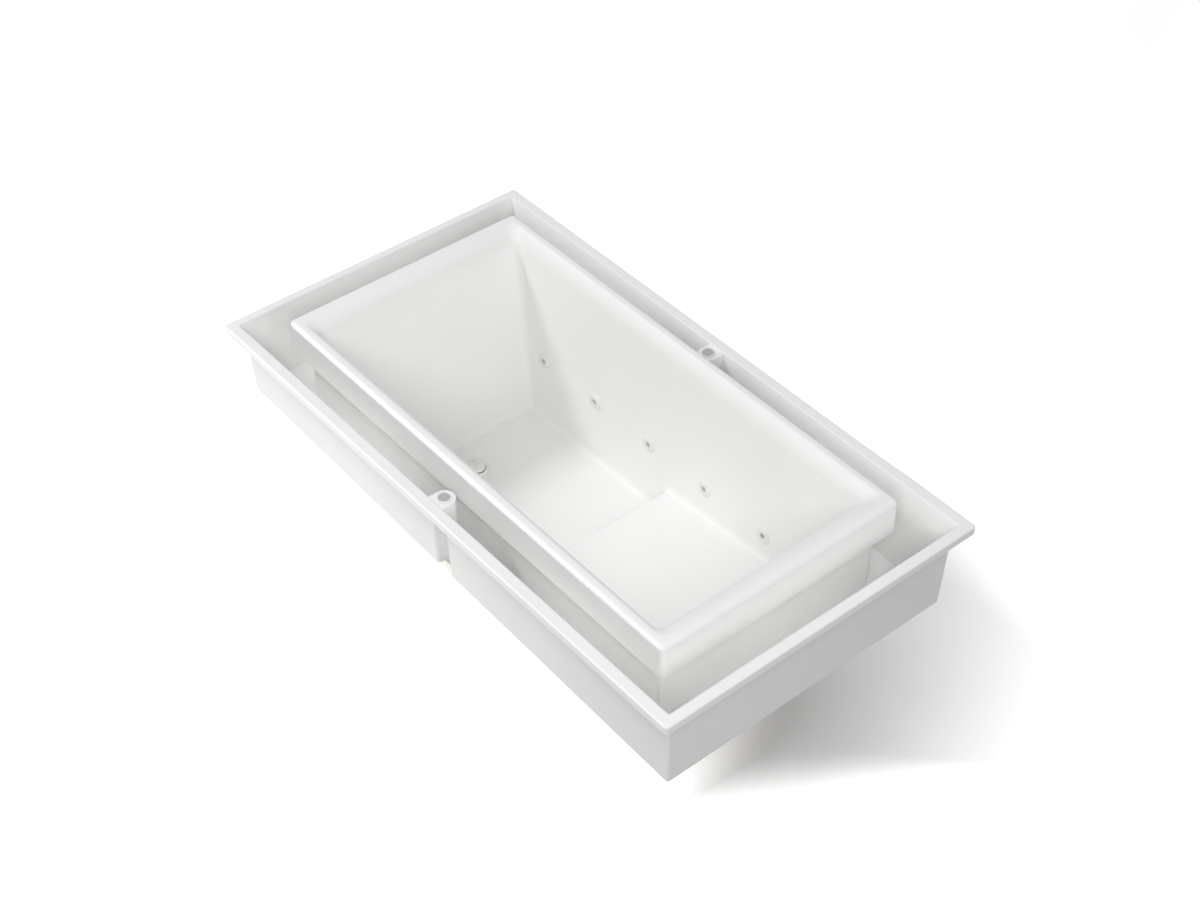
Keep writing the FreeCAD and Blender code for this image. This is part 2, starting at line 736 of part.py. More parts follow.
def jet_body():
    tilt = math.atan(SIDE_DRAFT)
    rear = -(MANIFOLD_Y - wall_half_width(JET_HEIGHT)) / math.cos(tilt)
    body = upright(JET_BODY_RADIUS, -JET_BODY_DEPTH, 0).fuse(upright(JET_TUBE, rear, -JET_BODY_DEPTH))
    return body.cut(upright(JET_TUBE_BORE, rear, 0)).cut(jet_seat())


def make_jets():
    wall = SHELL * math.cos(math.atan(SIDE_DRAFT))
    gasket_face = -wall - JET_GASKET
    gasket = upright(JET_RING_RADIUS + JET_GASKET_EDGE, gasket_face, -wall)
    gasket = gasket.cut(upright(JET_BODY_RADIUS, gasket_face, -wall))
    nut = hexagon_nut(2 * JET_RING_RADIUS, JET_BODY_RADIUS, gasket_face - JET_NUT, gasket_face)
    ring = jet_ring()
    nozzle = jet_nozzle()
    body = jet_body()
    bodies = []
    gaskets = []
    nuts = []
    height = manifold_axis_height()
    for name, side in SIDES.items():
        pipe = cylinder(PIPE, V(-FAR, side * MANIFOLD_Y, height), V(FAR, side * MANIFOLD_Y, height))
        for index in range(JET_COUNT):
            place = jet_place(side, index)
            keep("jet_ring_%s_%d" % (name, index + 1), placed(ring, place))
            keep("jet_nozzle_%s_%d" % (name, index + 1), placed(nozzle, place))
            bodies.append(placed(body, place).cut(pipe))
            gaskets.append(placed(gasket, place))
            nuts.append(placed(nut, place))
    keep("jet_bodies", group(bodies))
    keep("jet_gaskets", group(gaskets))
    keep("jet_nuts", group(nuts))


# Water pipe that feeds the jets, and its heater

def manifold_run(side, end, bore_end):
    """Straight pipe behind one row of jets, with a port for each of them."""
    height = manifold_axis_height()
    axis = side * MANIFOLD_Y
    start = V(MANIFOLD_START, axis, height)
    core = cylinder(PIPE_BORE, start, V(bore_end, axis, height))
    pipe = cylinder(PIPE, start, V(end, axis, height)).cut(core)
    port = upright(JET_TUBE_BORE, -3 * PIPE, 0)
    low, high = sorted((axis, 2 * axis))
    beyond = box(-FAR, FAR, low, high, 0, OVERALL_HEIGHT)
    for index in range(JET_COUNT):
        pipe = pipe.cut(placed(port, jet_place(side, index)).cut(core).cut(beyond))
    return pipe


def heater():
    inner = HEATER_RADIUS - HEATER_WALL
    inlet = HEATER_NECK + HEATER_CONE
    outlet = HEATER_LENGTH - inlet
    tube = lathe([(PIPE_BORE, 0.0), (PIPE, 0.0), (PIPE, HEATER_NECK), (HEATER_RADIUS, inlet),
                  (HEATER_RADIUS, outlet), (PIPE, HEATER_LENGTH - HEATER_NECK), (PIPE, HEATER_LENGTH),
                  (PIPE_BORE, HEATER_LENGTH), (PIPE_BORE, HEATER_LENGTH - HEATER_CONE),
                  (inner, outlet - HEATER_WALL), (inner, inlet + HEATER_WALL), (PIPE_BORE, HEATER_CONE)])
    terminals = box(-TERMINAL_HALF_WIDTH, TERMINAL_HALF_WIDTH, 0, HEATER_RADIUS + TERMINAL_RISE,
                    *TERMINAL_ENDS)
    core = upright(HEATER_RADIUS - HEATER_WALL / 3, 0, HEATER_LENGTH)
    return tube.fuse(terminals.cut(core))


def make_manifold():
    height = manifold_axis_height()
    end = PUMP_X - HEATER_GAP - HEATER_LENGTH
    keep("manifold_far", manifold_run(SIDES["far"], end, end))
    keep("manifold_near", manifold_run(SIDES["near"], end, end - MANIFOLD_CAP))
    route = [V(MANIFOLD_START, MANIFOLD_Y, height), V(MANIFOLD_END_X, MANIFOLD_Y, height),
             V(MANIFOLD_END_X, -MANIFOLD_Y, height), V(MANIFOLD_START, -MANIFOLD_Y, height)]
    keep("manifold_end", bent_pipe(route, MANIFOLD_BEND))
    along = FreeCAD.Placement(V(end, MANIFOLD_Y, height), FreeCAD.Rotation(V(0, 0, 1), V(1, 0, 0)))
    keep("heater_body", placed(heater(), along))


# Drain

def drain_flange():
    crown = DRAIN_FLANGE - DRAIN_FLANGE_ROUND
    edge = rounded_off((DRAIN_FLANGE, DRAIN_FLANGE_EDGE), (DRAIN_FLANGE, DRAIN_FLANGE_CROWN),
                       (crown, DRAIN_FLANGE_CROWN))
    flange = lathe([(DRAIN_BORE, DRAIN_BODY_END), (DRAIN_BODY, DRAIN_BODY_END), (DRAIN_BODY, 0.0),
                    (DRAIN_FLANGE, 0.0), (DRAIN_FLANGE, DRAIN_FLANGE_EDGE), edge,
                    (DRAIN_DISH, DRAIN_FLANGE_EDGE), (DRAIN_BORE, DRAIN_THROAT)])
    guide = upright(GUIDE_RADIUS, *GUIDE_ENDS)
    spoke = box(0.0, DRAIN_BORE + 1.0, -SPOKE_HALF_WIDTH, SPOKE_HALF_WIDTH, *SPOKE_ENDS)
    for k in range(SPOKE_COUNT):
        guide = guide.fuse(turned(spoke, V(0, 0, 0), V(0, 0, 1), 360.0 * k / SPOKE_COUNT))
    return flange.fuse(guide).cut(upright(STOPPER_STEM + GUIDE_CLEARANCE, *GUIDE_ENDS))


def drain_stopper():
    crown = STOPPER_RADIUS - STOPPER_RIM_ROUND
    rim = rounded_off((STOPPER_RADIUS, STOPPER_EDGE), (STOPPER_RADIUS, STOPPER_RIM), (crown, STOPPER_RIM))
    return lathe([(0.0, STOPPER_STEM_END), (STOPPER_STEM, STOPPER_STEM_END), (STOPPER_STEM, 0.0),
                  (DRAIN_BORE - STOPPER_UNDER, STOPPER_UNDER),
                  (STOPPER_RADIUS - STOPPER_UNDER, STOPPER_EDGE - 1.0), (STOPPER_RADIUS, STOPPER_EDGE), rim,
                  (0.0, STOPPER_RISE)])


def make_drain():
    place = drain_place()
    keep("drain_flange", placed(drain_flange(), place))
    keep("drain_stopper", placed(drain_stopper(), place))
    under = -SHELL * math.cos(math.atan(FLOOR_FALL))
    shoe_top = under - DRAIN_GASKET
    gasket = upright(DRAIN_FLANGE, shoe_top, under).cut(upright(DRAIN_BODY, shoe_top, under))
    keep("drain_gasket", placed(gasket, place))

    outlet = V(0, 0, -DRAIN_OUTLET_DROP)
    stub_end = outlet - V(SHOE_STUB, 0, 0)
    spigot_start = outlet - V(TAILPIECE_SPIGOT_START, 0, 0)
    tail_end = outlet + V(TAILPIECE_END - DRAIN_X, 0, 0)
    spigot = cylinder(TAILPIECE_SPIGOT, spigot_start, stub_end)
    shoe = upright(DRAIN_BODY + SHOE_WALL, SHOE_BOTTOM, shoe_top)
    shoe = shoe.fuse([upright(DRAIN_FLANGE, shoe_top - SHOE_WALL, shoe_top),
                      cylinder(PIPE + SOCKET_WALL, outlet, stub_end)])
    shoe = shoe.cut([upright(DRAIN_BODY, SHOE_BOTTOM + SHOE_FLOOR, 0), spigot,
                     cylinder(PIPE_BORE, outlet, stub_end)])
    keep("drain_shoe", placed(shoe, place))
    tail = spigot.fuse(cylinder(PIPE, stub_end, tail_end)).cut(cylinder(PIPE_BORE, outlet, tail_end))
    keep("drain_tailpiece", placed(tail, place))


# Suction and pump

def suction_cover():
    under = SUCTION_COVER_HEIGHT - SUCTION_COVER_WALL
    crown = SUCTION_COVER - SUCTION_COVER_ROUND
    inner = SUCTION_COVER - SUCTION_COVER_WALL
    shoulder = rounded_off((SUCTION_COVER, SUCTION_COVER_SIDE), (SUCTION_COVER, SUCTION_COVER_HEIGHT),
                           (crown, SUCTION_COVER_HEIGHT))
    cover = lathe([(0.0, under), (crown, under), (inner, SUCTION_COVER_SIDE - 1.0), (inner, 0.0),
                   (SUCTION_COVER, 0.0), (SUCTION_COVER, SUCTION_COVER_SIDE), shoulder,
                   (0.0, SUCTION_COVER_HEIGHT)])
    slot = box(SUCTION_SLOT_START, crown - 1.0, -SUCTION_SLOT_HALF_WIDTH, SUCTION_SLOT_HALF_WIDTH,
               0.0, 2 * SUCTION_COVER_HEIGHT)
    for k in range(SUCTION_SLOTS):
        cover = cover.cut(turned(slot, V(0, 0, 0), V(0, 0, 1), 360.0 * k / SUCTION_SLOTS))
    return cover


def suction_body():
    nut = SUCTION_NECK + SUCTION_NUT
    nut_end = -TROUGH_FLOOR - SUCTION_NUT
    cup_floor = SUCTION_CUP_END + SUCTION_CUP_FLOOR
    outlet = V(0, 0, -SUCTION_OUTLET_DROP)
    socket_end = outlet - V(SUCTION_SOCKET, 0, 0)
    body = lathe([(PIPE_BORE, SUCTION_FLANGE_HEIGHT), (SUCTION_FLANGE, SUCTION_FLANGE_HEIGHT),
                  (SUCTION_FLANGE, 0.0), (SUCTION_NECK, 0.0), (SUCTION_NECK, -TROUGH_FLOOR),
                  (nut, -TROUGH_FLOOR), (nut, nut_end), (SUCTION_NECK, nut_end),
                  (SUCTION_NECK, SUCTION_CUP_END), (0.0, SUCTION_CUP_END), (0.0, cup_floor),
                  (PIPE_BORE, cup_floor)])
    body = body.fuse(cylinder(PIPE + SOCKET_WALL, outlet - V(PIPE, 0, 0), socket_end))
    return body.cut([cylinder(PIPE_BORE, outlet, socket_end),
                     cylinder(PIPE, outlet - V(SUCTION_SOCKET_START, 0, 0), socket_end)])


def make_suction():
    place = suction_place()
    keep("suction_cover", placed(suction_cover(), place))
    keep("suction_body", placed(suction_body(), place))
    outlet = V(0, 0, -SUCTION_OUTLET_DROP)
    start = place.multVec(outlet - V(SUCTION_SOCKET_START, 0, 0))
    corner = place.multVec(outlet + V(SUCTION_LEG_X - SUCTION_X, 0, 0))
    inlet_face = PUMP_X + VOLUTE_LENGTH / 2 + INLET_LENGTH
    route = [start, corner, V(corner.x, corner.y, PUMP_Z), V(corner.x, 0, PUMP_Z), V(inlet_face, 0, PUMP_Z)]
    keep("suction_pipe", bent_pipe(route, BEND_RADIUS))


def pump_axis(x):
    return V(x, 0, PUMP_Z)


def make_pump():
    back = PUMP_X - VOLUTE_LENGTH / 2
    front = PUMP_X + VOLUTE_LENGTH / 2
    inlet = front + INLET_LENGTH
    outlet_start = V(PUMP_X, 0, PUMP_Z + OUTLET_RISE)
    outlet_end = outlet_start + V(0, OUTLET_REACH, 0)
    volute = cylinder(VOLUTE_RADIUS, pump_axis(back), pump_axis(front))
    volute = volute.fuse([cylinder(PIPE + OUTLET_WALL, outlet_start, outlet_end),
                          cylinder(PIPE, pump_axis(front), pump_axis(inlet))])
    chamber = cylinder(VOLUTE_RADIUS - VOLUTE_WALL, pump_axis(back), pump_axis(front - VOLUTE_WALL))
    outlet_bore = cylinder(PIPE_BORE, outlet_start, outlet_end)
    inlet_bore = cylinder(PIPE_BORE, pump_axis(back), pump_axis(inlet))
    keep("pump_volute", volute.cut([chamber, outlet_bore, inlet_bore]))

    barrel_start = back - MOTOR_PLATE
    barrel_end = barrel_start - MOTOR_LENGTH
    motor = cylinder(VOLUTE_RADIUS, pump_axis(barrel_start), pump_axis(back))
    motor = motor.fuse(cylinder(MOTOR_RADIUS, pump_axis(barrel_end), pump_axis(barrel_start)))
    for foot_x in (barrel_end + MOTOR_FOOT_INSET, barrel_start - MOTOR_FOOT_INSET - MOTOR_FOOT_LENGTH):
        motor = motor.fuse(box(foot_x, foot_x + MOTOR_FOOT_LENGTH, -MOTOR_RADIUS, MOTOR_RADIUS,
                               BOARD_TOP, PUMP_Z - MOTOR_FOOT_TOP))
    shaft_end = barrel_start - SHAFT_DEPTH
    hole_end = shaft_end - SHAFT_END_GAP
    shaft_hole = cylinder(SHAFT_RADIUS + SHAFT_CLEARANCE, pump_axis(hole_end), pump_axis(back))
    keep("pump_motor", motor.cut(shaft_hole))

    plate = PUMP_X + IMPELLER_BACK
    rotor = cylinder(SHAFT_RADIUS, pump_axis(shaft_end), pump_axis(PUMP_X + VANE_TOP))
    rotor = rotor.fuse(cylinder(IMPELLER_RADIUS, pump_axis(plate), pump_axis(plate + IMPELLER_PLATE)))
    vane = box(plate + VANE_OVERLAP, PUMP_X + VANE_TOP, SHAFT_RADIUS - VANE_OVERLAP,
               IMPELLER_RADIUS - VANE_OVERLAP, PUMP_Z - VANE_HALF_WIDTH, PUMP_Z + VANE_HALF_WIDTH)
    for k in range(VANE_COUNT):
        rotor = rotor.fuse(turned(vane, pump_axis(PUMP_X), V(1, 0, 0), 360.0 * k / VANE_COUNT))
    keep("pump_rotor", rotor)

    cover_end = barrel_end - FAN_COVER_LENGTH
    inside = cover_end + FAN_COVER_WALL
    cover = cylinder(MOTOR_RADIUS, pump_axis(cover_end), pump_axis(barrel_end))
    cover = cover.cut(cylinder(MOTOR_RADIUS - FAN_COVER_WALL, pump_axis(inside), pump_axis(barrel_end)))
    vent = box(cover_end - 1.0, inside + 1.0, VENT_START, VENT_END,
               PUMP_Z - VENT_HALF_WIDTH, PUMP_Z + VENT_HALF_WIDTH)
    for k in range(VENT_COUNT):
        cover = cover.cut(turned(vent, pump_axis(cover_end), V(1, 0, 0), 360.0 * k / VENT_COUNT))
    keep("motor_fan_cover", cover)

    height = manifold_axis_height()
    route = [outlet_end, V(PUMP_X, MANIFOLD_Y, outlet_end.z), V(PUMP_X, MANIFOLD_Y, height),
             V(PUMP_X - HEATER_GAP, MANIFOLD_Y, height)]
    keep("discharge_pipe", bent_pipe(route, BEND_RADIUS))


# Cradle, boards and feet

def square_bar(x0, x1, y, bottom):
    return box(x0, x1, y - RAIL / 2, y + RAIL / 2, bottom, bottom + RAIL)


def make_rails():
    for name, side in SIDES.items():
        middle = side * RAIL_Y
        inside = RAIL / 2 - RAIL_WALL
        rail = square_bar(RAIL_START, RAIL_END, middle, RAIL_BOTTOM)
        rail = rail.cut(box(RAIL_START, RAIL_END, middle - inside, middle + inside,
                            RAIL_BOTTOM + RAIL_WALL, RAIL_TOP - RAIL_WALL))
        for x in FOOT_PLACES:
            foot = V(x, middle, RAIL_BOTTOM)
            rail = rail.cut(cylinder(STUD_HOLE, foot, foot + V(0, 0, 2 * RAIL_WALL)))
        keep("cradle_rail_" + name, rail)
    inner_face = RAIL_Y - RAIL / 2
    bars = [box(x - RAIL / 2, x + RAIL / 2, -inner_face, inner_face, RAIL_BOTTOM, RAIL_TOP)
            for x in CROSSBAR_PLACES]
    keep("cradle_crossbars", group(bars))


def make_boards_and_bench_frame():
    underside = well(SHELL)
    board = box(BASE_BOARD_START, BASE_BOARD_END, -BASE_BOARD_HALF_WIDTH, BASE_BOARD_HALF_WIDTH,
                RAIL_TOP, FLOOR_HEIGHT).cut(underside)
    drain_foot = V(DRAIN_X, 0, 0)
    clearance = cylinder(DRAIN_FLANGE + BASE_BOARD_CLEARANCE, drain_foot, drain_foot + V(0, 0, RIM_TOP))
    outlet_slot = box(BASE_BOARD_START, DRAIN_X, -DRAIN_FLANGE, DRAIN_FLANGE, 0, FLOOR_HEIGHT)
    keep("base_board", board.cut([clearance, outlet_slot]))

    posts = []
    bearers = []
    for x in BEARER_PLACES:
        bottom = bench_height(x) - SHELL - BEARER_HEIGHT
        bearer = box(x - RAIL / 2, x + RAIL / 2, -BEARER_HALF_LENGTH, BEARER_HALF_LENGTH,
                     bottom, bottom + 2 * BEARER_HEIGHT)
        bearers.append(bearer.cut(underside))
        for side in SIDES.values():
            middle = side * RAIL_Y
            posts.append(box(x - RAIL / 2, x + RAIL / 2, middle - RAIL / 2, middle + RAIL / 2,
                             RAIL_TOP, bottom))
    keep("bench_posts", group(posts))
    keep("bench_bearers", group(bearers))
    pump_board = box(*PUMP_BOARD_ENDS, *PUMP_BOARD_SIDES, RAIL_TOP, BOARD_TOP)
    keep("pump_board", pump_board.cut(posts))


def make_feet():
    stud_end = RAIL_TOP - FOOT_STUD_GAP
    foot = lathe([(0.0, 0.0), (FOOT_PAD, 0.0), (FOOT_PAD, FOOT_PAD_EDGE), (FOOT_CONE, FOOT_CONE_TOP),
                  (FOOT_STUD, FOOT_STUD_START), (FOOT_STUD, stud_end), (0.0, stud_end)])
    nut = hexagon_nut(LOCK_NUT_FLATS, FOOT_STUD, RAIL_BOTTOM - LOCK_NUT, RAIL_BOTTOM)
    feet = []
    lock_nuts = []
    for side in SIDES.values():
        for x in FOOT_PLACES:
            place = FreeCAD.Placement(V(x, side * RAIL_Y, 0), FreeCAD.Rotation())
            feet.append(placed(foot, place))
            lock_nuts.append(placed(nut, place))
    keep("levelling_feet", group(feet))
    keep("foot_lock_nuts", group(lock_nuts))


def make_control_box():
    top = BOARD_TOP + CONTROL_BOX_HEIGHT
    case = box(CONTROL_BOX_X, CONTROL_BOX_X + CONTROL_BOX_LENGTH,
               CONTROL_BOX_Y, CONTROL_BOX_Y + CONTROL_BOX_DEPTH, BOARD_TOP, top)
    upright_edges = [edge for edge in case.Edges if abs(edge.tangentAt(edge.FirstParameter).z) > 0.9]
    case = case.makeFillet(CONTROL_BOX_CORNER, upright_edges)
    pitch = CONTROL_BOX_LENGTH / (INLET_COUNT + 1)
    for k in range(INLET_COUNT):
        foot = V(CONTROL_BOX_X + pitch * (k + 1), CONTROL_BOX_Y + CONTROL_BOX_DEPTH / 2, top)
        crown = foot + V(0, 0, INLET_RISE)
        case = case.fuse(cylinder(INLET_RADIUS, foot, crown))
        case = case.cut(cylinder(INLET_BORE, foot - V(0, 0, INLET_BLIND), crown))
    keep("control_box", case)


def main():
    make_basin()
    make_trough()
    make_buttons()
    make_jets()
    make_manifold()
    make_drain()
    make_suction()
    make_pump()
    make_rails()
    make_boards_and_bench_frame()
    make_feet()
    make_control_box()
    os.makedirs("parts", exist_ok=True)
    for name, shape in NODES.items():
        shape.exportStep("parts/%s.step" % name)
        facts = (name, len(shape.Solids), shape.isValid(), shape.Volume)
        print("%-22s solids %2d  valid %s  volume %.0f" % facts)
    print("nodes", len(NODES))


main()
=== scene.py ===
# %% [markdown]
# # An overflow bath
# A deep white basin with a bench stands inside a trough that catches the water running over
# its rim. The construction is already packed as a frame of separate nodes. This lesson dresses
# that frame: the basin and the fittings are modelled again with smooth rounds, every surface
# gets its finish, and a studio is built around the bath.

# %% Load the frame
import json
import math
from collections import namedtuple

import bmesh
import bpy
from mathutils import Matrix, Vector


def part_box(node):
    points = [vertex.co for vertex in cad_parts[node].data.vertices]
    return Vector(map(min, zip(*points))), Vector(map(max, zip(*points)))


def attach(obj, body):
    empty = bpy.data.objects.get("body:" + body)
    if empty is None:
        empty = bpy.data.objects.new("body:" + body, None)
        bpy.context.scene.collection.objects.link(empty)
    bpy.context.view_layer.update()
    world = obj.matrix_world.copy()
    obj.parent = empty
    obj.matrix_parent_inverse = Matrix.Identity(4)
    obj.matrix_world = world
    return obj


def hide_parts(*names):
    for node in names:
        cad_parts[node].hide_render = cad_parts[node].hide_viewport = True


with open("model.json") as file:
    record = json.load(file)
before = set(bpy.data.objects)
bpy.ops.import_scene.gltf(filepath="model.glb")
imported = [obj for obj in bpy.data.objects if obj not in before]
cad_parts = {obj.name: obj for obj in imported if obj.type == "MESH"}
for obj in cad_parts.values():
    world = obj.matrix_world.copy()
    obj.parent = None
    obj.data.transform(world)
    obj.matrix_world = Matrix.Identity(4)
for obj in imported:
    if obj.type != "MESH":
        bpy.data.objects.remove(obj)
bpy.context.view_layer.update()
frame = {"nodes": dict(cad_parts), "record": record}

MM = 0.001

# %% [markdown]
# ## Tools for finishes
# A finish is a small graph of nodes around one Principled shader. Colours are written as sRGB hex
# values, the way a colour picker shows them, and one function turns them to the linear light that
# a shader expects. A node takes several lines to make, set and link by hand, so a second function
# does it in one call.

# %% Colour and node helpers
def colour(code):
    """Linear RGBA of an sRGB hex value such as "#F2F2F1"."""
    shares = [int(code[k:k + 2], 16) / 255 for k in (1, 3, 5)]
    linear = [s / 12.92 if s <= 0.04045 else ((s + 0.055) / 1.055) ** 2.4 for s in shares]
    return (*linear, 1.0)


def add_node(tree, kind, settings, inputs):
    """Adds a node, sets its properties and fills its inputs with values or links."""
    node = tree.nodes.new(kind)
    for name, value in settings.items():
        setattr(node, name, value)
    for socket, value in inputs.items():
        if isinstance(value, bpy.types.NodeSocket):
            tree.links.new(value, node.inputs[socket])
        else:
            node.inputs[socket].default_value = value
    return node


print("middle grey in linear light", colour("#808080"))

# %% [markdown]
# ## How a made surface wavers
# No real surface is one flat colour. Three soft noises do most of the work for every finish here:
# one lets the colour wander between two near tones, one makes patches a little duller or shinier,
# and one gives the surface its relief. Object coordinates are metres in the bath's own frame, so
# a feature of a given size needs a noise scale of one over that size. Stretching the coordinates
# turns the same noise into draw lines, brush marks or wood grain.

# %% Finish builder
NOISE_SPAN = {"From Min": 0.3, "From Max": 0.7}
NOISE_DETAIL = 2.0
# A Mix node that is set to colours has its share, its two colours and its result at these sockets.
MIX_SHARE, MIX_FIRST, MIX_SECOND, MIX_RESULT = 0, 6, 7, 2


def make_finish(name, tones, tone_mm, gloss, gloss_mm, relief_mm, depth_mm,
                stretch=(1.0, 1.0, 1.0), **sockets):
    """A material whose colour, roughness and relief each follow a noise of a real size."""
    material = bpy.data.materials.new(name)
    material.use_nodes = True
    tree = material.node_tree
    shader = tree.nodes["Principled BSDF"]
    for socket, value in sockets.items():
        shader.inputs[socket].default_value = value
    place = add_node(tree, "ShaderNodeTexCoord", {}, {})
    spot = add_node(tree, "ShaderNodeMapping", {"name": "spot"},
                    {"Vector": place.outputs["Object"], "Scale": stretch})
    tone_noise, gloss_noise, relief_noise = [
        add_node(tree, "ShaderNodeTexNoise", {},
                 {"Vector": spot.outputs["Vector"], "Scale": 1 / (size * MM), "Detail": NOISE_DETAIL})
        for size in (tone_mm, gloss_mm, relief_mm)]
    share = add_node(tree, "ShaderNodeMapRange", {"name": "share"},
                     {"Value": tone_noise.outputs["Fac"], **NOISE_SPAN})
    tone = add_node(tree, "ShaderNodeMix", {"data_type": "RGBA", "name": "tone"},
                    {MIX_SHARE: share.outputs["Result"],
                     MIX_FIRST: colour(tones[0]), MIX_SECOND: colour(tones[1])})
    rough = add_node(tree, "ShaderNodeMapRange", {},
                     {"Value": gloss_noise.outputs["Fac"], **NOISE_SPAN,
                      "To Min": gloss[0], "To Max": gloss[1]})
    bump = add_node(tree, "ShaderNodeBump", {},
                    {"Height": relief_noise.outputs["Fac"], "Distance": depth_mm * MM, "Strength": 1.0})
    tree.links.new(tone.outputs[MIX_RESULT], shader.inputs["Base Color"])
    tree.links.new(rough.outputs["Result"], shader.inputs["Roughness"])
    tree.links.new(bump.outputs["Normal"], shader.inputs["Normal"])
    return material


print("each finish follows its noise over", NOISE_SPAN)

# %% [markdown]
# ## The white mouldings and fittings
# Both shells are cast acrylic sheet, heated and drawn over a mould. The sheet has a soft sheen, the
# draw leaves it very slightly wavy over a hand's width, and polishing leaves patches that are a
# touch duller. Behind it lies sprayed glass fibre, rough and a little yellow. The jets and the
# buttons' collars are injection moulded with a finer skin. A mould's texture is a tenth of a
# millimetre fine, so on the fittings it is drawn coarser, at about one millimetre, to show at all.

# %% White finishes
FINISHES = {}
# Drawn acrylic: a soft sheen that bends with the sheet, so the white never looks like paint.
FINISHES["white_acrylic"] = make_finish(
    "drawn_acrylic_sheet", ("#F7F7F6", "#FAFAF9"), tone_mm=250, gloss=(0.29, 0.36), gloss_mm=60,
    relief_mm=60, depth_mm=0.06, IOR=1.49)
# Moulded ABS: a fine satin skin that spreads the highlight.
FINISHES["white_fitting"] = make_finish(
    "moulded_white_abs", ("#EFEFED", "#F3F3F1"), tone_mm=20, gloss=(0.24, 0.34), gloss_mm=4,
    relief_mm=1.2, depth_mm=0.01, IOR=1.53)
# The press caps are the same plastic coloured light grey, with a spark-eroded matt face.
FINISHES["grey_button"] = make_finish(
    "moulded_grey_abs", ("#B0B1B1", "#BABBBB"), tone_mm=6, gloss=(0.34, 0.46), gloss_mm=3,
    relief_mm=0.8, depth_mm=0.015, IOR=1.53)
# Sprayed chopped strands under resin: dull, lumpy and slightly yellow.
glass_fibre = make_finish(
    "sprayed_glass_fibre", ("#D3D0C2", "#E3E1D7"), tone_mm=14, gloss=(0.45, 0.65), gloss_mm=8,
    relief_mm=5, depth_mm=0.5, stretch=(1.0, 0.5, 0.7), IOR=1.55)
print("white finishes", sorted(FINISHES))

# %% [markdown]
# ## Metals
# The drain is nickel plated and satin brushed, the heater is stainless steel brushed along its
# length, the cradle is galvanised tube and the feet are zinc plated. Brush lines are finer than the
# render can show, so they are drawn about a millimetre wide. Galvanising is the odd one: the
# zinc freezes in flat crystals, each of its own grey. A noise has no such borders, so a Voronoi
# pattern gives them.

# %% Metal finishes
# Satin nickel: a warm light grey metal with a soft, wide highlight.
FINISHES["drain_metal"] = make_finish(
    "satin_nickel_plate", ("#DEDDDA", "#E8E7E4"), tone_mm=10, gloss=(0.24, 0.34), gloss_mm=2,
    relief_mm=0.7, depth_mm=0.01, Metallic=1.0)
# Brushed stainless steel: fine lines along X that stretch the highlight across them.
FINISHES["heater_steel"] = make_finish(
    "brushed_stainless_steel", ("#B5B4B1", "#CFCECB"), tone_mm=2, gloss=(0.24, 0.44), gloss_mm=1.5,
    relief_mm=1, depth_mm=0.02, stretch=(0.03, 1.0, 1.0), Metallic=1.0)
# Zinc plate: bright grey with a yellowish passivation.
FINISHES["foot_steel"] = make_finish(
    "zinc_plated_steel", ("#B9BCBC", "#CBC9BF"), tone_mm=8, gloss=(0.26, 0.42), gloss_mm=3,
    relief_mm=1, depth_mm=0.015, Metallic=1.0)
# Galvanised tube: dull grey with crystals about 12 mm across.
SPANGLE_MM = 12
galvanised = make_finish(
    "galvanised_steel_tube", ("#8F9496", "#B7BBBC"), tone_mm=SPANGLE_MM, gloss=(0.36, 0.56),
    gloss_mm=SPANGLE_MM, relief_mm=6, depth_mm=0.05, Metallic=1.0)
tree = galvanised.node_tree
crystals = add_node(tree, "ShaderNodeTexVoronoi", {},
                    {"Vector": tree.nodes["spot"].outputs["Vector"], "Scale": 1 / (SPANGLE_MM * MM)})
tree.links.new(crystals.outputs["Color"], tree.nodes["share"].inputs["Value"])
FINISHES["cradle_steel"] = galvanised
print("metal finishes added, now", len(FINISHES))

# %% [markdown]
# ## Plastics and rubber below the rim
# A plumber sees extruded pipe with faint draw lines, black rubber seals, a cured bead of sealant,
# a glass-filled pump body, an enamelled motor and a spark-textured box. Each could have its own
# graph, but they differ only in tone, gloss and the size of their marks, so the same builder makes
# them. The textures of box and pump are drawn coarser than real, at about a millimetre.

# %% Plastic and rubber finishes
# Extruded pipe: slightly grey white with faint lines along its length.
FINISHES["pipe_plastic"] = make_finish(
    "extruded_white_pipe", ("#DEDEDA", "#E6E6E3"), tone_mm=80, gloss=(0.28, 0.42), gloss_mm=4,
    relief_mm=4, depth_mm=0.03, stretch=(0.05, 1.0, 1.0), IOR=1.53)
# Moulded rubber: nearly black and matt.
FINISHES["seal_rubber"] = make_finish(
    "moulded_black_rubber", ("#1B1B1C", "#29292A"), tone_mm=12, gloss=(0.58, 0.78), gloss_mm=4,
    relief_mm=1, depth_mm=0.03, IOR=1.52)
# Cured silicone: pale, smooth and a little uneven from the tooling.
FINISHES["clear_sealant"] = make_finish(
    "cured_silicone_bead", ("#DCDDDA", "#E6E7E5"), tone_mm=20, gloss=(0.3, 0.45), gloss_mm=8,
    relief_mm=10, depth_mm=0.3, IOR=1.41)
# Glass-filled nylon: black with a grey, fibrous bloom.
FINISHES["pump_plastic"] = make_finish(
    "glass_filled_black_nylon", ("#202123", "#2D2E30"), tone_mm=3, gloss=(0.42, 0.62), gloss_mm=2,
    relief_mm=1.2, depth_mm=0.04, IOR=1.53)
# Stoved enamel on cast iron: dark grey with a sheen over a faint orange peel.
FINISHES["motor_paint"] = make_finish(
    "stoved_grey_enamel", ("#3C4348", "#454C51"), tone_mm=30, gloss=(0.32, 0.5), gloss_mm=6,
    relief_mm=3, depth_mm=0.08, IOR=1.5)
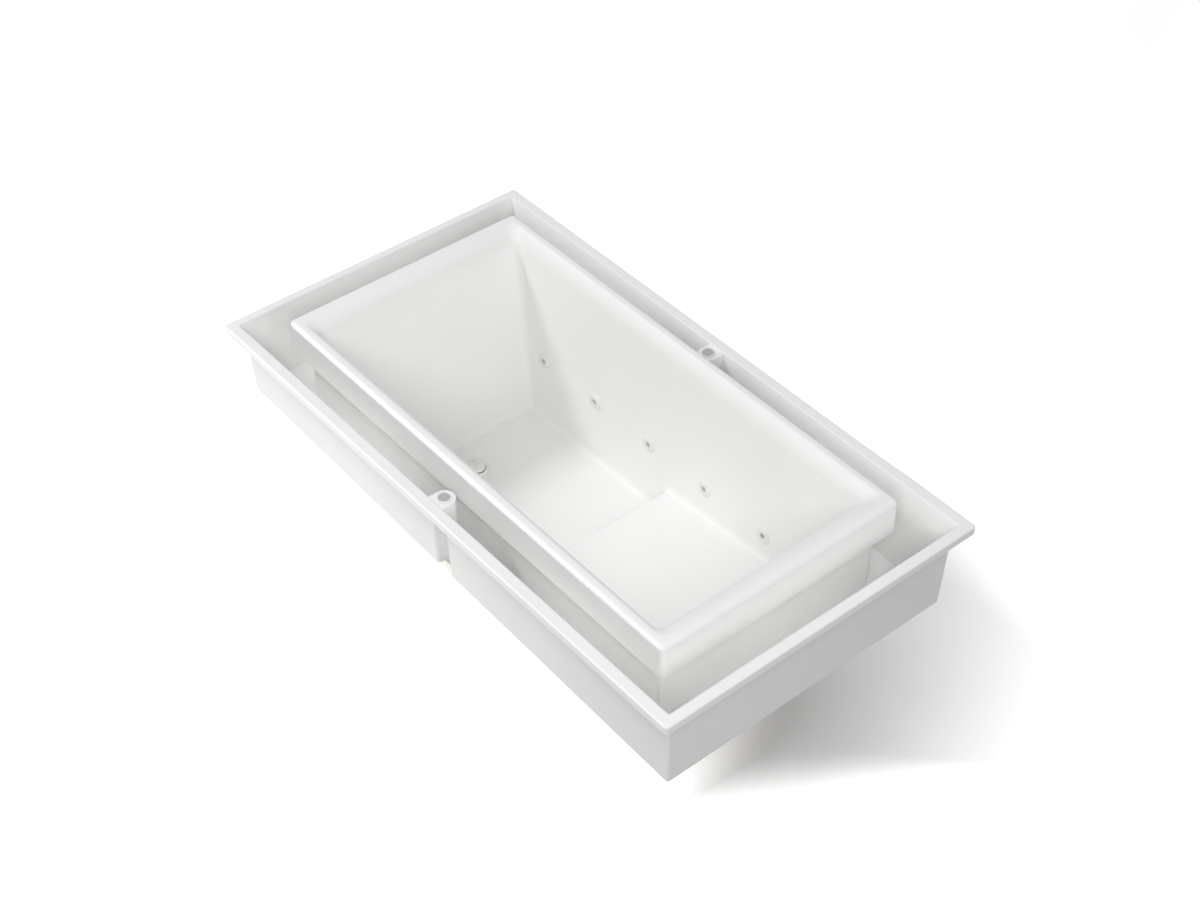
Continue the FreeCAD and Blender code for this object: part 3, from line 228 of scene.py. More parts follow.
# Spark-textured ABS: light grey and evenly matt.
FINISHES["box_plastic"] = make_finish(
    "spark_textured_grey_abs", ("#BFC1C0", "#C7C9C8"), tone_mm=30, gloss=(0.42, 0.56), gloss_mm=3,
    relief_mm=1, depth_mm=0.04, IOR=1.53)
print("plastic finishes added, now", len(FINISHES))

# %% [markdown]
# ## Plywood
# The boards below the bath are birch plywood, sealed against damp. Stretched noise gives the long
# grain. On the edges the plies show as bands. They could be modelled as layers, but a wave along Z
# draws them at no cost, and it darkens the grain's colour instead of replacing it.

# %% Plywood finish
PLY = 3 * MM
GLUE_LINE_SHARE = 0.5
# A Wave node at a scale of 1 repeats after this many metres.
WAVE_PERIOD = math.tau / 20
# Sealed birch plywood: warm, with long grain along X and darker glue lines on its edges.
plywood = make_finish(
    "sealed_birch_plywood", ("#B48E5F", "#D2B286"), tone_mm=6, gloss=(0.5, 0.68), gloss_mm=3,
    relief_mm=4, depth_mm=0.12, stretch=(0.08, 1.0, 0.3), IOR=1.5)
tree = plywood.node_tree
place = add_node(tree, "ShaderNodeTexCoord", {}, {})
plies = add_node(tree, "ShaderNodeTexWave", {"bands_direction": "Z"},
                 {"Vector": place.outputs["Object"], "Scale": WAVE_PERIOD / PLY})
banded = add_node(tree, "ShaderNodeMix", {"data_type": "RGBA", "blend_type": "MULTIPLY"},
                  {MIX_SHARE: GLUE_LINE_SHARE, MIX_FIRST: tree.nodes["tone"].outputs[MIX_RESULT],
                   MIX_SECOND: plies.outputs["Color"]})
tree.links.new(banded.outputs[MIX_RESULT], tree.nodes["Principled BSDF"].inputs["Base Color"])
FINISHES["board_ply"] = plywood
print("finishes", sorted(FINISHES))

# %% [markdown]
# ## From a bmesh to a piece
# Every piece ends the same way: its bmesh becomes a mesh, corners sharper than a set angle keep
# a hard edge in the shading, and the Weighted Normal modifier lets the big flat faces win over
# the narrow rounds beside them. Then the piece is told which body it rides on and which finish it
# takes, and the nodes it stands for are hidden.

# %% Piece helper
SHARP_EDGE = math.radians(38)


def finish_piece(bm, name, body, slot, nodes):
    mesh = bpy.data.meshes.new(name)
    bm.to_mesh(mesh)
    bm.free()
    mesh.shade_smooth()
    mesh.set_sharp_from_angle(angle=SHARP_EDGE)
    mesh.materials.append(FINISHES[slot])
    piece = bpy.data.objects.new(name, mesh)
    bpy.context.scene.collection.objects.link(piece)
    weighted = piece.modifiers.new("even_shading", "WEIGHTED_NORMAL")
    weighted.keep_sharp = True
    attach(piece, body)
    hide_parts(*nodes)
    return piece


print("edges stay hard above", round(math.degrees(SHARP_EDGE)), "degrees")

# %% [markdown]
# ## The basin
# The basin is one drawn shell: a down-turned lip, a rolled rim, drafted walls, a floor that falls
# to the drain and a bench. It could be carved from a block, but rounds of changing size are hard
# to cut. So it is modelled as the visible skin only. A rounded rectangle, made from one face with
# bevelled corners, is extruded ring by ring over the rim and down the walls. Each ring keeps its
# four corners apart, because the corner's radius changes on the way.

# %% Rings of a rounded rectangle
Outline = namedtuple("Outline", "half_length half_width corner height")
CORNER_STEPS = 10
QUADRANTS = [(-1, -1), (-1, 1), (1, -1), (1, 1)]


def start_ring(bm, outline):
    """A closed loop of edges: one face whose corners are bevelled, with the face taken away."""
    made = bmesh.ops.create_grid(bm, x_segments=1, y_segments=1, size=1.0)
    bmesh.ops.scale(bm, vec=(outline.half_length, outline.half_width, 1.0), verts=made["verts"])
    bmesh.ops.translate(bm, vec=(0.0, 0.0, outline.height), verts=made["verts"])
    bmesh.ops.bevel(bm, geom=bm.verts[:], offset=outline.corner, offset_type="OFFSET", affect="VERTICES",
                    segments=CORNER_STEPS, profile=0.5, material=-1)
    bmesh.ops.delete(bm, geom=bm.faces[:], context="FACES_ONLY")
    return bm.edges[:]


def corner_centre(outline, side_x, side_y):
    return Vector((side_x * (outline.half_length - outline.corner),
                   side_y * (outline.half_width - outline.corner), outline.height))


def next_ring(bm, ring, old, new):
    """Extrudes a ring and takes each of its four corners to its place on the new outline."""
    grown = bmesh.ops.extrude_edge_only(bm, edges=ring)["geom"]
    verts = [item for item in grown if isinstance(item, bmesh.types.BMVert)]
    growth = new.corner / old.corner
    for side_x, side_y in QUADRANTS:
        corner = [v for v in verts if v.co.x * side_x > 0 and v.co.y * side_y > 0]
        here = corner_centre(old, side_x, side_y)
        there = corner_centre(new, side_x, side_y)
        bmesh.ops.scale(bm, vec=(growth, growth, 1.0), space=Matrix.Translation(-here), verts=corner)
        bmesh.ops.translate(bm, vec=there - here, verts=corner)
    fresh = set(verts)
    return [item for item in grown if isinstance(item, bmesh.types.BMEdge) and set(item.verts) <= fresh]


print("points on a ring", len(QUADRANTS) * (CORNER_STEPS + 1))

# %% [markdown]
# ## Sizes of the basin
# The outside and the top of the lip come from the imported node's box. The rest are the sizes that
# the bath was drawn with: the mouth, how far the rim rolls over at the ends and at the sides, the
# draft of the walls, the fall of the floor and the slope of the bench.

# %% Basin sizes
shell_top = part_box("basin_shell")[1]
SHELL = 8 * MM
LIP_DROP = 107 * MM
LIP_ROUND = 12 * MM
LIP = Outline(shell_top.x, shell_top.y, 15 * MM, shell_top.z - LIP_DROP)
RIM_TOP = shell_top.z
CREASE = RIM_TOP - 57 * MM
LEDGE = CREASE - 12 * MM
MOUTH = Outline(717.5 * MM, 344.6 * MM, 22 * MM, CREASE)
END_ROLL = 74 * MM
SIDE_ROLL = 37 * MM
ROLL_RISE = 58.5 * MM
ROLL_CORNER_GROWTH = 16 * MM
WELL_TOP = Outline(715 * MM, 344 * MM, 24 * MM, CREASE)
WELL_FLOOR = Outline(619 * MM, 301 * MM, 24 * MM, 129 * MM)
BELOW_FLOOR = 40 * MM
DRAIN_X = -495 * MM
FLOOR_FALL = 10 / 520
BENCH_FRONT = 17 * MM
BENCH_HEIGHT = 228 * MM
BENCH_SLOPE = 0.085
WELL_ROUND = 20 * MM
NOSE_ROUND = 8 * MM
CREASE_ROUND = 4 * MM
LIP_STEPS, ROLL_STEPS, WELL_STEPS, NOSE_STEPS, CREASE_STEPS = 10, 24, 10, 10, 5
print("lip", LIP)
print("mouth", MOUTH)

# %% [markdown]
# ## Rim and walls
# From the lip's lower edge the rings climb, go round a quarter circle to the flat top, and follow
# part of an ellipse down into the mouth. An ellipse is chosen because the roll is twice as wide at
# the ends as at the sides but equally high. Below the crease a narrow ledge leads to the walls,
# which run on past the floor, so that there is something to cut off.

# %% Rim and walls
def quarter_round(outline, radius, steps):
    """Outlines that take an upright edge over to a flat top, ending inset by the radius."""
    for step in range(1, steps + 1):
        angle = 0.5 * math.pi * step / steps
        inset = radius * (1.0 - math.cos(angle))
        yield Outline(outline.half_length - inset, outline.half_width - inset, outline.corner - inset,
                      outline.height + radius * math.sin(angle))


def roll_outlines():
    """The rolled rim: part of a quarter ellipse from the top down to the crease."""
    top = math.asin((RIM_TOP - CREASE) / ROLL_RISE)
    for step in range(ROLL_STEPS + 1):
        angle = top * (1.0 - step / ROLL_STEPS)
        reach = 1.0 - math.cos(angle)
        yield Outline(MOUTH.half_length + END_ROLL * reach, MOUTH.half_width + SIDE_ROLL * reach,
                      MOUTH.corner + ROLL_CORNER_GROWTH * reach, CREASE + ROLL_RISE * math.sin(angle))


def well_outline(height):
    """Outline of the drafted walls at a height, on the line from the crease to the floor."""
    share = (WELL_TOP.height - height) / (WELL_TOP.height - WELL_FLOOR.height)
    return Outline(WELL_TOP.half_length + share * (WELL_FLOOR.half_length - WELL_TOP.half_length),
                   WELL_TOP.half_width + share * (WELL_FLOOR.half_width - WELL_TOP.half_width),
                   WELL_TOP.corner, height)


def draw_rim_and_walls(bm):
    """Lip, rim, roll, ledge and walls; returns the rings that need softening."""
    ring = start_ring(bm, LIP)
    lip_edge = LIP._replace(height=RIM_TOP - LIP_ROUND)
    ledge = well_outline(LEDGE)
    roll = list(roll_outlines())
    outlines = [lip_edge, *quarter_round(lip_edge, LIP_ROUND, LIP_STEPS), *roll, ledge,
                well_outline(WELL_FLOOR.height - BELOW_FLOOR)]
    rings = {}
    before = LIP
    for outline in outlines:
        ring = next_ring(bm, ring, before, outline)
        rings[outline] = ring
        before = outline
    return rings[roll[0]], rings[roll[-1]] + rings[ledge]


basin_bm = bmesh.new()
roll_start, crease_rings = draw_rim_and_walls(basin_bm)
print("rim and wall faces", len(basin_bm.faces))

# %% [markdown]
# ## Three planes
# Floor, bench and riser are flat, so each is given by a point and a normal. The same planes serve
# to cut the walls, to find the edges that a cut has left open, and to tell what lies below.

# %% Planes and cuts
Plane = namedtuple("Plane", "point normal")
FLOOR_PLANE = Plane(Vector((DRAIN_X, 0, WELL_FLOOR.height)), Vector((-FLOOR_FALL, 0, 1)).normalized())
BENCH_PLANE = Plane(Vector((BENCH_FRONT, 0, BENCH_HEIGHT)), Vector((-BENCH_SLOPE, 0, 1)).normalized())
RISER_PLANE = Plane(Vector((BENCH_FRONT, 0, 0)), Vector((1, 0, 0)))
NEAR_ENOUGH = 0.01 * MM


def above(plane, point):
    return (point - plane.point).dot(plane.normal)


def edges_on(edges, plane):
    return [e for e in edges if all(abs(above(plane, v.co)) < NEAR_ENOUGH for v in e.verts)]


def cut_faces(bm, faces, plane):
    geometry = set(faces)
    for face in faces:
        geometry.update(face.edges)
        geometry.update(face.verts)
    bmesh.ops.bisect_plane(bm, geom=list(geometry), dist=NEAR_ENOUGH, plane_co=plane.point,
                           plane_no=plane.normal)


def loose_ends(edges):
    """The two end points of an open run of edges."""
    touched = [v for e in edges for v in e.verts]
    return [v for v in touched if touched.count(v) == 1]


def round_edges(bm, edges, radius, steps):
    bmesh.ops.bevel(bm, geom=edges, offset=radius, offset_type="OFFSET", affect="EDGES", segments=steps,
                    profile=0.5, material=-1, clamp_overlap=True)


print("bench rises", BENCH_SLOPE, "floor falls", round(FLOOR_FALL, 4))

# %% [markdown]
# ## The well
# The walls are cut off at the bench on one side of the riser and at the floor on the other. The
# three openings are then filled with one face each, and bevels round all the edges where they
# meet. The bench's nose comes last and gets a smaller radius, because it curves the other way.

# %% Well
NOSE_BEND = math.radians(30)
FLAT_BEND = 0.01
HALF_DEPTH = 0.5 * CREASE


def nose_edges(bm):
    """The convex edges along the bench's front."""
    def near_front(vert):
        return abs(vert.co.x - BENCH_FRONT) < 2 * WELL_ROUND and vert.co.z < HALF_DEPTH

    return [e for e in bm.edges if e.is_manifold and e.is_convex and e.calc_face_angle(0.0) > NOSE_BEND
            and all(near_front(v) for v in e.verts)]


def draw_well(bm):
    """Cuts the walls off at bench and floor, fills both and the riser, and rounds the edges."""
    def walls():
        return [f for f in bm.faces if max(v.co.z for v in f.verts) < LEDGE + NEAR_ENOUGH]

    def plane_under(face):
        return BENCH_PLANE if face.calc_center_median().x > BENCH_FRONT else FLOOR_PLANE

    cut_faces(bm, walls(), RISER_PLANE)
    for plane in (BENCH_PLANE, FLOOR_PLANE):
        cut_faces(bm, [f for f in walls() if plane_under(f) is plane], plane)
    sunk = [f for f in walls() if above(plane_under(f), f.calc_center_median()) < 0]
    bmesh.ops.delete(bm, geom=sunk, context="FACES")
    open_edges = [e for e in bm.edges if e.is_boundary and e.verts[0].co.z < LEDGE]
    bench = edges_on(open_edges, BENCH_PLANE)
    floor = edges_on(open_edges, FLOOR_PLANE)
    riser = edges_on(open_edges, RISER_PLANE)
    nose = bm.edges.new(loose_ends(bench))
    heel = bm.edges.new(loose_ends(floor))
    for border in (bench + [nose], floor + [heel], riser + [nose, heel]):
        bmesh.ops.contextual_create(bm, geom=border)
    seam = [e for e in edges_on(bm.edges, RISER_PLANE)
            if e.is_manifold and e.calc_face_angle(1.0) < FLAT_BEND]
    bmesh.ops.dissolve_edges(bm, edges=seam)
    bmesh.ops.recalc_face_normals(bm, faces=bm.faces[:])
    round_edges(bm, bench + floor + riser + [heel], WELL_ROUND, WELL_STEPS)
    round_edges(bm, nose_edges(bm), NOSE_ROUND, NOSE_STEPS)


draw_well(basin_bm)
round_edges(basin_bm, roll_start, CREASE_ROUND, CREASE_STEPS)
round_edges(basin_bm, crease_rings, CREASE_ROUND, CREASE_STEPS)
bmesh.ops.recalc_face_normals(basin_bm, faces=basin_bm.faces[:])
print("basin skin faces", len(basin_bm.faces))

# %% [markdown]
# ## Where the fittings stand
# Ten jets sit in the long walls and a drain in the floor. A jet's ball turns about a point that
# the frame's joints give, so the place of its ring is worked out from there: a little further in,
# along the line that stands square on the leaning wall.

# %% Where the fittings stand
BALL_DEPTH = 3.0 * MM
JETS_A_SIDE = 5
SIDES = {"near": -1, "far": 1}
joints = {joint["name"]: joint for joint in frame["record"]["behaviour"]["joints"]}
wall_lean = math.atan((WELL_TOP.half_width - WELL_FLOOR.half_width) / (WELL_TOP.height - WELL_FLOOR.height))
Spot = namedtuple("Spot", "place axis")
JET_SPOTS = {}
for side, sign in SIDES.items():
    inward = Vector((0, -sign * math.cos(wall_lean), math.sin(wall_lean)))
    for number in range(1, JETS_A_SIDE + 1):
        label = "%s_%d" % (side, number)
        pivot = Vector(joints["nozzle_%s_tilt" % label]["pos_m"])
        JET_SPOTS[label] = Spot(pivot + BALL_DEPTH * inward, inward)
DRAIN_SPOT = Spot(FLOOR_PLANE.point, FLOOR_PLANE.normal)


def standing(spot):
    """Matrix that takes a piece from the origin to its spot, with its own Z along the axis."""
    return Matrix.Translation(spot.place) @ spot.axis.to_track_quat("Z", "Y").to_matrix().to_4x4()


print("first jet", JET_SPOTS["near_1"])

# %% [markdown]
# ## Thickness and holes
# The skin becomes a wall with Solidify, whose back takes the glass fibre finish, and the fittings
# need round holes through it. Drawing a circle into a bevelled wall by hand is slow, so a Boolean
# modifier cuts one set of plugs out of it. The plugs are only a tool: both modifiers are worked
# into the mesh and the plugs are thrown away.

# %% Solid basin with its holes
JET_HOLE = 20.5 * MM
DRAIN_HOLE = 23.5 * MM
PLUG_LENGTH = 6 * SHELL
PLUG_STEPS = 48


def worked(bm, name, materials, steps):
    """Runs a bmesh through modifiers and gives the finished shape back as a bmesh."""
    mesh = bpy.data.meshes.new(name)
    bm.to_mesh(mesh)
    bm.free()
    for material in materials:
        mesh.materials.append(material)
    blank = bpy.data.objects.new(name, mesh)
    bpy.context.scene.collection.objects.link(blank)
    for kind, settings in steps:
        modifier = blank.modifiers.new(kind.lower(), kind)
        for key, value in settings.items():
            setattr(modifier, key, value)
    solid = blank.evaluated_get(bpy.context.evaluated_depsgraph_get())
    result = bmesh.new()
    result.from_mesh(solid.to_mesh())
    solid.to_mesh_clear()
    bpy.data.objects.remove(blank)
    return result


def plug_set():
    bm = bmesh.new()
    holes = [(spot, JET_HOLE) for spot in JET_SPOTS.values()] + [(DRAIN_SPOT, DRAIN_HOLE)]
    for spot, radius in holes:
        bmesh.ops.create_cone(bm, cap_ends=True, segments=PLUG_STEPS, radius1=radius, radius2=radius,
                              depth=PLUG_LENGTH, matrix=standing(spot))
    mesh = bpy.data.meshes.new("plugs")
    bm.to_mesh(mesh)
    bm.free()
    plugs = bpy.data.objects.new("plugs", mesh)
    bpy.context.scene.collection.objects.link(plugs)
    return plugs


plugs = plug_set()
wall = {"thickness": SHELL, "offset": -1.0, "use_even_offset": True, "material_offset": 1}
basin_bm = worked(basin_bm, "basin_blank", [FINISHES["white_acrylic"], glass_fibre],
                  [("SOLIDIFY", wall), ("BOOLEAN", {"object": plugs, "operation": "DIFFERENCE"})])
bpy.data.objects.remove(plugs)
print("solid basin faces", len(basin_bm.faces))
basin = finish_piece(basin_bm, "basin", "bath", "white_acrylic", ["basin_shell"])
basin.data.materials.append(glass_fibre)

# %% [markdown]
# ## Turned fittings
# Jets, buttons and the drain are round, so each is drawn once as half a section: a flat face whose
# corners are bevelled by their own radius. Its outline is spun once round the axis, and the seam
# is merged. Working in millimetres keeps the numbers readable; the last step scales to metres.

# %% Turning helper
Corner = namedtuple("Corner", "radius height round")
TURN_STEPS = 64
ROUND_STEPS = 5
ON_AXIS = 0.001


def turn(corners):
    """A solid turned about Z from the corners of its half section, in metres."""
    bm = bmesh.new()
    verts = [bm.verts.new((corner.radius, 0.0, corner.height)) for corner in corners]
    bm.faces.new(verts)
    for vert, corner in zip(verts, corners):
        if corner.round > 0:
            bmesh.ops.bevel(bm, geom=[vert], offset=corner.round, offset_type="OFFSET", affect="VERTICES",
                            segments=ROUND_STEPS, profile=0.5, material=-1)
    bmesh.ops.delete(bm, geom=bm.faces[:], context="FACES_ONLY")
    axis_edges = [e for e in bm.edges if all(v.co.x < ON_AXIS for v in e.verts)]
    bmesh.ops.delete(bm, geom=axis_edges, context="EDGES")
    bmesh.ops.spin(bm, geom=bm.verts[:] + bm.edges[:], cent=(0, 0, 0), axis=(0, 0, 1), angle=math.tau,
                   steps=TURN_STEPS, use_merge=True)
    bmesh.ops.remove_doubles(bm, verts=bm.verts[:], dist=ON_AXIS)
    bmesh.ops.recalc_face_normals(bm, faces=bm.faces[:])
    bmesh.ops.scale(bm, vec=(MM, MM, MM), verts=bm.verts[:])
    return bm


def stand(bm, spot):
    bmesh.ops.transform(bm, matrix=standing(spot), verts=bm.verts[:])
    return bm


def gather(parts):
    """Several bmeshes as one."""
    whole = bmesh.new()
    for part in parts:
        mesh = bpy.data.meshes.new("part")
        part.to_mesh(mesh)
        part.free()
        whole.from_mesh(mesh)
        bpy.data.meshes.remove(mesh)
    return whole


print("steps round a turned piece", TURN_STEPS)

# %% [markdown]
# ## Jets
# A jet is a domed ring on the wall with a ball in it. The ball is bored through and swivels, which
# aims the water. Its ring is turned. The ball could be turned too, but a sphere is the truer start:
# two planes cut it flat, the rims are drawn in to the bore, and a bridge between them makes the
# bore's wall.

# %% Jets
JET_RING = [Corner(24.5, 0, 0), Corner(24.5, 2.4, 1.2), Corner(20, 5, 3), Corner(13.3, 5, 0.8),
            Corner(15.1, 0, 0)]
BALL = 15
BALL_FACE = 7.5
BALL_BACK = -10
BORE = 9
BORE_EDGE = 0.8
BORE_EDGE_STEPS = 3


def eyeball():
    bm = bmesh.new()
    bmesh.ops.create_uvsphere(bm, u_segments=TURN_STEPS, v_segments=TURN_STEPS // 2, radius=BALL)
    rims = []
    for height, facing in ((BALL_FACE, 1), (BALL_BACK, -1)):
        bmesh.ops.bisect_plane(bm, geom=bm.verts[:] + bm.edges[:] + bm.faces[:], dist=ON_AXIS,
                               plane_co=(0, 0, height), plane_no=(0, 0, facing), clear_outer=True)
        rim = [e for e in bm.edges if e.is_boundary and e.verts[0].co.z * facing > 0]
        drawn = bmesh.ops.extrude_edge_only(bm, edges=rim)["geom"]
        verts = [item for item in drawn if isinstance(item, bmesh.types.BMVert)]
        share = BORE / verts[0].co.xy.length
        bmesh.ops.scale(bm, vec=(share, share, 1.0), verts=verts)
        rims += [e for e in drawn if isinstance(e, bmesh.types.BMEdge) and set(e.verts) <= set(verts)]
    bmesh.ops.bridge_loops(bm, edges=rims)
    round_edges(bm, [e for e in rims if e.is_valid and e.verts[0].co.z > 0], BORE_EDGE, BORE_EDGE_STEPS)
    bmesh.ops.recalc_face_normals(bm, faces=bm.faces[:])
    bmesh.ops.scale(bm, vec=(MM, MM, MM), verts=bm.verts[:])
    return bm


for label, spot in JET_SPOTS.items():
    ring = stand(turn(JET_RING), spot)
    finish_piece(ring, "jet_escutcheon_" + label, "bath", "white_fitting", ["jet_ring_" + label])
    ball = stand(eyeball(), spot._replace(place=spot.place - BALL_DEPTH * spot.axis))
    finish_piece(ball, "jet_eyeball_" + label, "nozzle_" + label, "white_fitting", ["jet_nozzle_" + label])
print("jets", len(JET_SPOTS))

# %% [markdown]
# ## Press buttons
# Each button is a grey cap in a white collar on top of its boss. Both are turned. The collar is
# undercut where it meets the boss, so a thin line of shade shows round it, and the cap is dished
# for a fingertip. Below, the collar is a sleeve whose floor has a hole for the cap's stem.

# %% Buttons
CAP_RISE = 5 * MM
COLLAR = [Corner(15.9, -16, 0), Corner(15.9, 4, 0.5), Corner(19.2, 4, 1.0), Corner(19.2, 2.2, 0.3),
          Corner(17.2, 2.2, 0), Corner(17.2, 0, 0), Corner(17, 0, 0), Corner(17, -34, 0),
          Corner(15.9, -34, 0), Corner(15.9, -20, 0), Corner(6, -20, 0), Corner(6, -16, 0)]
CAP = [Corner(0, -23, 0), Corner(4, -23, 0), Corner(4, -9.5, 0), Corner(15.5, -9.5, 0),
       Corner(15.5, 5, 1.4), Corner(12, 5, 0.8), Corner(9, 4.3, 3), Corner(0, 4.0, 0)]

collars = []
for side in SIDES:
    cap_low, cap_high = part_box("button_cap_" + side)
    middle = 0.5 * (cap_low + cap_high)
    spot = Spot(Vector((middle.x, middle.y, cap_high.z - CAP_RISE)), Vector((0, 0, 1)))
    collars.append(stand(turn(COLLAR), spot))
    finish_piece(stand(turn(CAP), spot), "press_cap_" + side, "button_" + side, "grey_button",
                 ["button_cap_" + side])
finish_piece(gather(collars), "button_collars", "bath", "white_fitting", ["button_housings"])
print("buttons", len(collars))

# %% [markdown]
# ## Drain
# The flange has a domed edge and a dish that leads down to the bore. A small hub on three spokes
# guides the stopper's stem. The stopper is a low mushroom that rests on the dish and lifts. All of
# it is turned apart from the spokes, which are three cubes stretched and set round the axis.

# %% Drain
DRAIN_FLANGE = [Corner(19.5, -52, 0), Corner(23, -52, 0), Corner(23, 0, 0), Corner(40, 0, 0),
                Corner(40, 1.8, 0.9), Corner(35.5, 3.2, 3), Corner(28.3, 3.0, 0.4),
                Corner(27.5, 1.0, 0.6), Corner(19.5, -8, 2)]
GUIDE_HUB = [Corner(4.06, -30, 0), Corner(7, -30, 0.6), Corner(7, -18, 0.6), Corner(4.06, -18, 0)]
STOPPER = [Corner(0, -34, 0), Corner(4, -34, 0.6), Corner(4, 0, 0), Corner(17.5, 2, 0), Corner(25, 3.4, 0),
           Corner(27, 4.4, 0.5), Corner(27, 6.2, 1.6), Corner(22, 7.5, 2.5), Corner(0, 8.4, 0)]
SPOKES = 3
SPOKE = Vector((13, 3, 6)) * MM
SPOKE_MIDDLE = Vector((13, 0, -25)) * MM


def guide_spokes():
    bm = bmesh.new()
    for k in range(SPOKES):
        turned = Matrix.Rotation(k * math.tau / SPOKES, 4, "Z") @ Matrix.Translation(SPOKE_MIDDLE)
        bmesh.ops.create_cube(bm, size=1.0, matrix=turned @ Matrix.Diagonal((*SPOKE, 1.0)))
    return bm


drain_parts = [turn(DRAIN_FLANGE), turn(GUIDE_HUB), guide_spokes()]
finish_piece(stand(gather(drain_parts), DRAIN_SPOT), "drain_rose", "bath", "drain_metal", ["drain_flange"])
finish_piece(stand(turn(STOPPER), DRAIN_SPOT), "drain_mushroom", "stopper", "drain_metal",
             ["drain_stopper"])
print("drain at", DRAIN_SPOT.place)

# %% [markdown]
# ## Parts that keep their shape
# Where a node already has the right form, modelling it again would gain nothing. Its triangles are
# copied, welded together and joined into larger faces. A narrow bevel then breaks every sharp edge,
# because a real moulding or tube never has a perfectly sharp one, and it is what catches the light.

# %% Dress the remaining nodes
WELD = 0.001 * MM
SAME_FACE = math.radians(0.5)
EDGE_BREAK = 0.6 * MM
EDGE_STEPS = 2
REMADE = ("basin_shell", "jet_ring", "jet_nozzle", "button_cap", "button_housings", "drain_flange",
          "drain_stopper")


def dress(node, body, slot):
    bm = bmesh.new()
    bm.from_mesh(frame["nodes"][node].data)
    bmesh.ops.remove_doubles(bm, verts=bm.verts[:], dist=WELD)
    bmesh.ops.dissolve_limit(bm, angle_limit=SAME_FACE, verts=bm.verts[:], edges=bm.edges[:])
    piece = finish_piece(bm, node + "_skin", body, slot, [node])
    bevel = piece.modifiers.new("edge_break", "BEVEL")
    bevel.width = EDGE_BREAK
    bevel.segments = EDGE_STEPS
    bevel.limit_method = "ANGLE"
    bevel.angle_limit = SHARP_EDGE
    piece.modifiers.move(1, 0)


node_slot = {entry["node"]: entry["material_slot"] for entry in frame["record"]["subparts"]}
node_body = {node: body for body, nodes in frame["record"]["behaviour"]["bodies"].items() for node in nodes}
kept = [node for node in sorted(node_slot) if not node.startswith(REMADE)]
for node in kept:
    dress(node, node_body[node], node_slot[node])
print("dressed", len(kept))

# %% [markdown]
# ## Floor
# The bath stands on a white floor. A plain white one would go grey wherever the bath takes some of
# its light. So, for the camera, the floor carries painted light: it is painted brighter than white,
# which paints out the bath's half shade. To the right of the bath the paint is plainer, and there
# the floor keeps the bath's soft shadow, with edges set by where the paint fades. Mirrors and glass
# see it plain white. For all other rays it is dim, so that little light comes back up under the rims.

# %% Floor paint
FLOOR_WHITE, FLOOR_BRIGHT, FLOOR_SHADED = 6.0, 3.0, 2.0
Fade = namedtuple("Fade", "axis start end white")
ALONG_SHADOW, TOWARDS_CAMERA = (1.0, 0.5, 0.0), (0.8, -0.6, 0.0)
# Painted light: each fade turns the floor whiter than its lighting, painting out the bath's shade.
FADES = [Fade(ALONG_SHADOW, 0.8, 0.5, FLOOR_WHITE), Fade(ALONG_SHADOW, 0.9, 1.7, FLOOR_BRIGHT),
         Fade(TOWARDS_CAMERA, 0.6, 0.9, FLOOR_WHITE)]


def seen_directly(tree):
    """1 for rays that show the background: the camera's own, and those in mirrors and glass."""
    path = add_node(tree, "ShaderNodeLightPath", {}, {})
    first = add_node(tree, "ShaderNodeMath", {"operation": "MAXIMUM"},
                     {0: path.outputs["Is Camera Ray"], 1: path.outputs["Is Glossy Ray"]})
    both = add_node(tree, "ShaderNodeMath", {"operation": "MAXIMUM"},
                    {0: first.outputs[0], 1: path.outputs["Is Transmission Ray"]})
    return both.outputs[0]


def floor_painted_light(tree):
    """Painted light on the floor: plain right of the bath, whiter around it to paint out shade."""
    where = add_node(tree, "ShaderNodeTexCoord", {}, {})
    paint = FLOOR_SHADED
    for fade in FADES:
        across = add_node(tree, "ShaderNodeVectorMath", {"operation": "DOT_PRODUCT"},
                          {0: where.outputs["Object"], 1: fade.axis})
        faded = add_node(tree, "ShaderNodeMapRange", {"interpolation_type": "SMOOTHSTEP"},
                         {"Value": across.outputs["Value"], "From Min": fade.start, "From Max": fade.end,
                          "To Min": FLOOR_SHADED, "To Max": fade.white})
        paint = add_node(tree, "ShaderNodeMath", {"operation": "MAXIMUM"},
                         {0: paint, 1: faded.outputs["Result"]}).outputs["Value"]
    return paint


print("fades on the floor", len(FADES))

# %% Floor
FLOOR_HALF = 20.0
FLOOR_DIM = (0.1, 0.1, 0.1, 1.0)
FLOOR_MIRRORED = (0.8, 0.8, 0.8, 1.0)


def studio_floor():
    bm = bmesh.new()
    bmesh.ops.create_grid(bm, x_segments=1, y_segments=1, size=FLOOR_HALF)
    mesh = bpy.data.meshes.new("studio_floor")
    bm.to_mesh(mesh)
    bm.free()
    floor = bpy.data.objects.new("studio_floor", mesh)
    bpy.context.scene.collection.objects.link(floor)
    material = bpy.data.materials.new("white_sweep")
    material.use_nodes = True
    tree = material.node_tree
    tree.nodes.clear()
    dim = add_node(tree, "ShaderNodeBsdfDiffuse", {}, {"Color": FLOOR_DIM})
    painted = add_node(tree, "ShaderNodeBsdfDiffuse", {}, {"Color": floor_painted_light(tree)})
    white = add_node(tree, "ShaderNodeBsdfDiffuse", {}, {"Color": FLOOR_MIRRORED})
    mirrored = add_node(tree, "ShaderNodeMixShader", {},
                        {0: seen_directly(tree), 1: dim.outputs[0], 2: white.outputs[0]})
    path = add_node(tree, "ShaderNodeLightPath", {}, {})
    mixed = add_node(tree, "ShaderNodeMixShader", {},
                     {0: path.outputs["Is Camera Ray"], 1: mirrored.outputs[0], 2: painted.outputs[0]})
    add_node(tree, "ShaderNodeOutputMaterial", {}, {"Surface": mixed.outputs[0]})
    mesh.materials.append(material)
    return floor


floor = studio_floor()
print("floor", 2 * FLOOR_HALF, "m square")

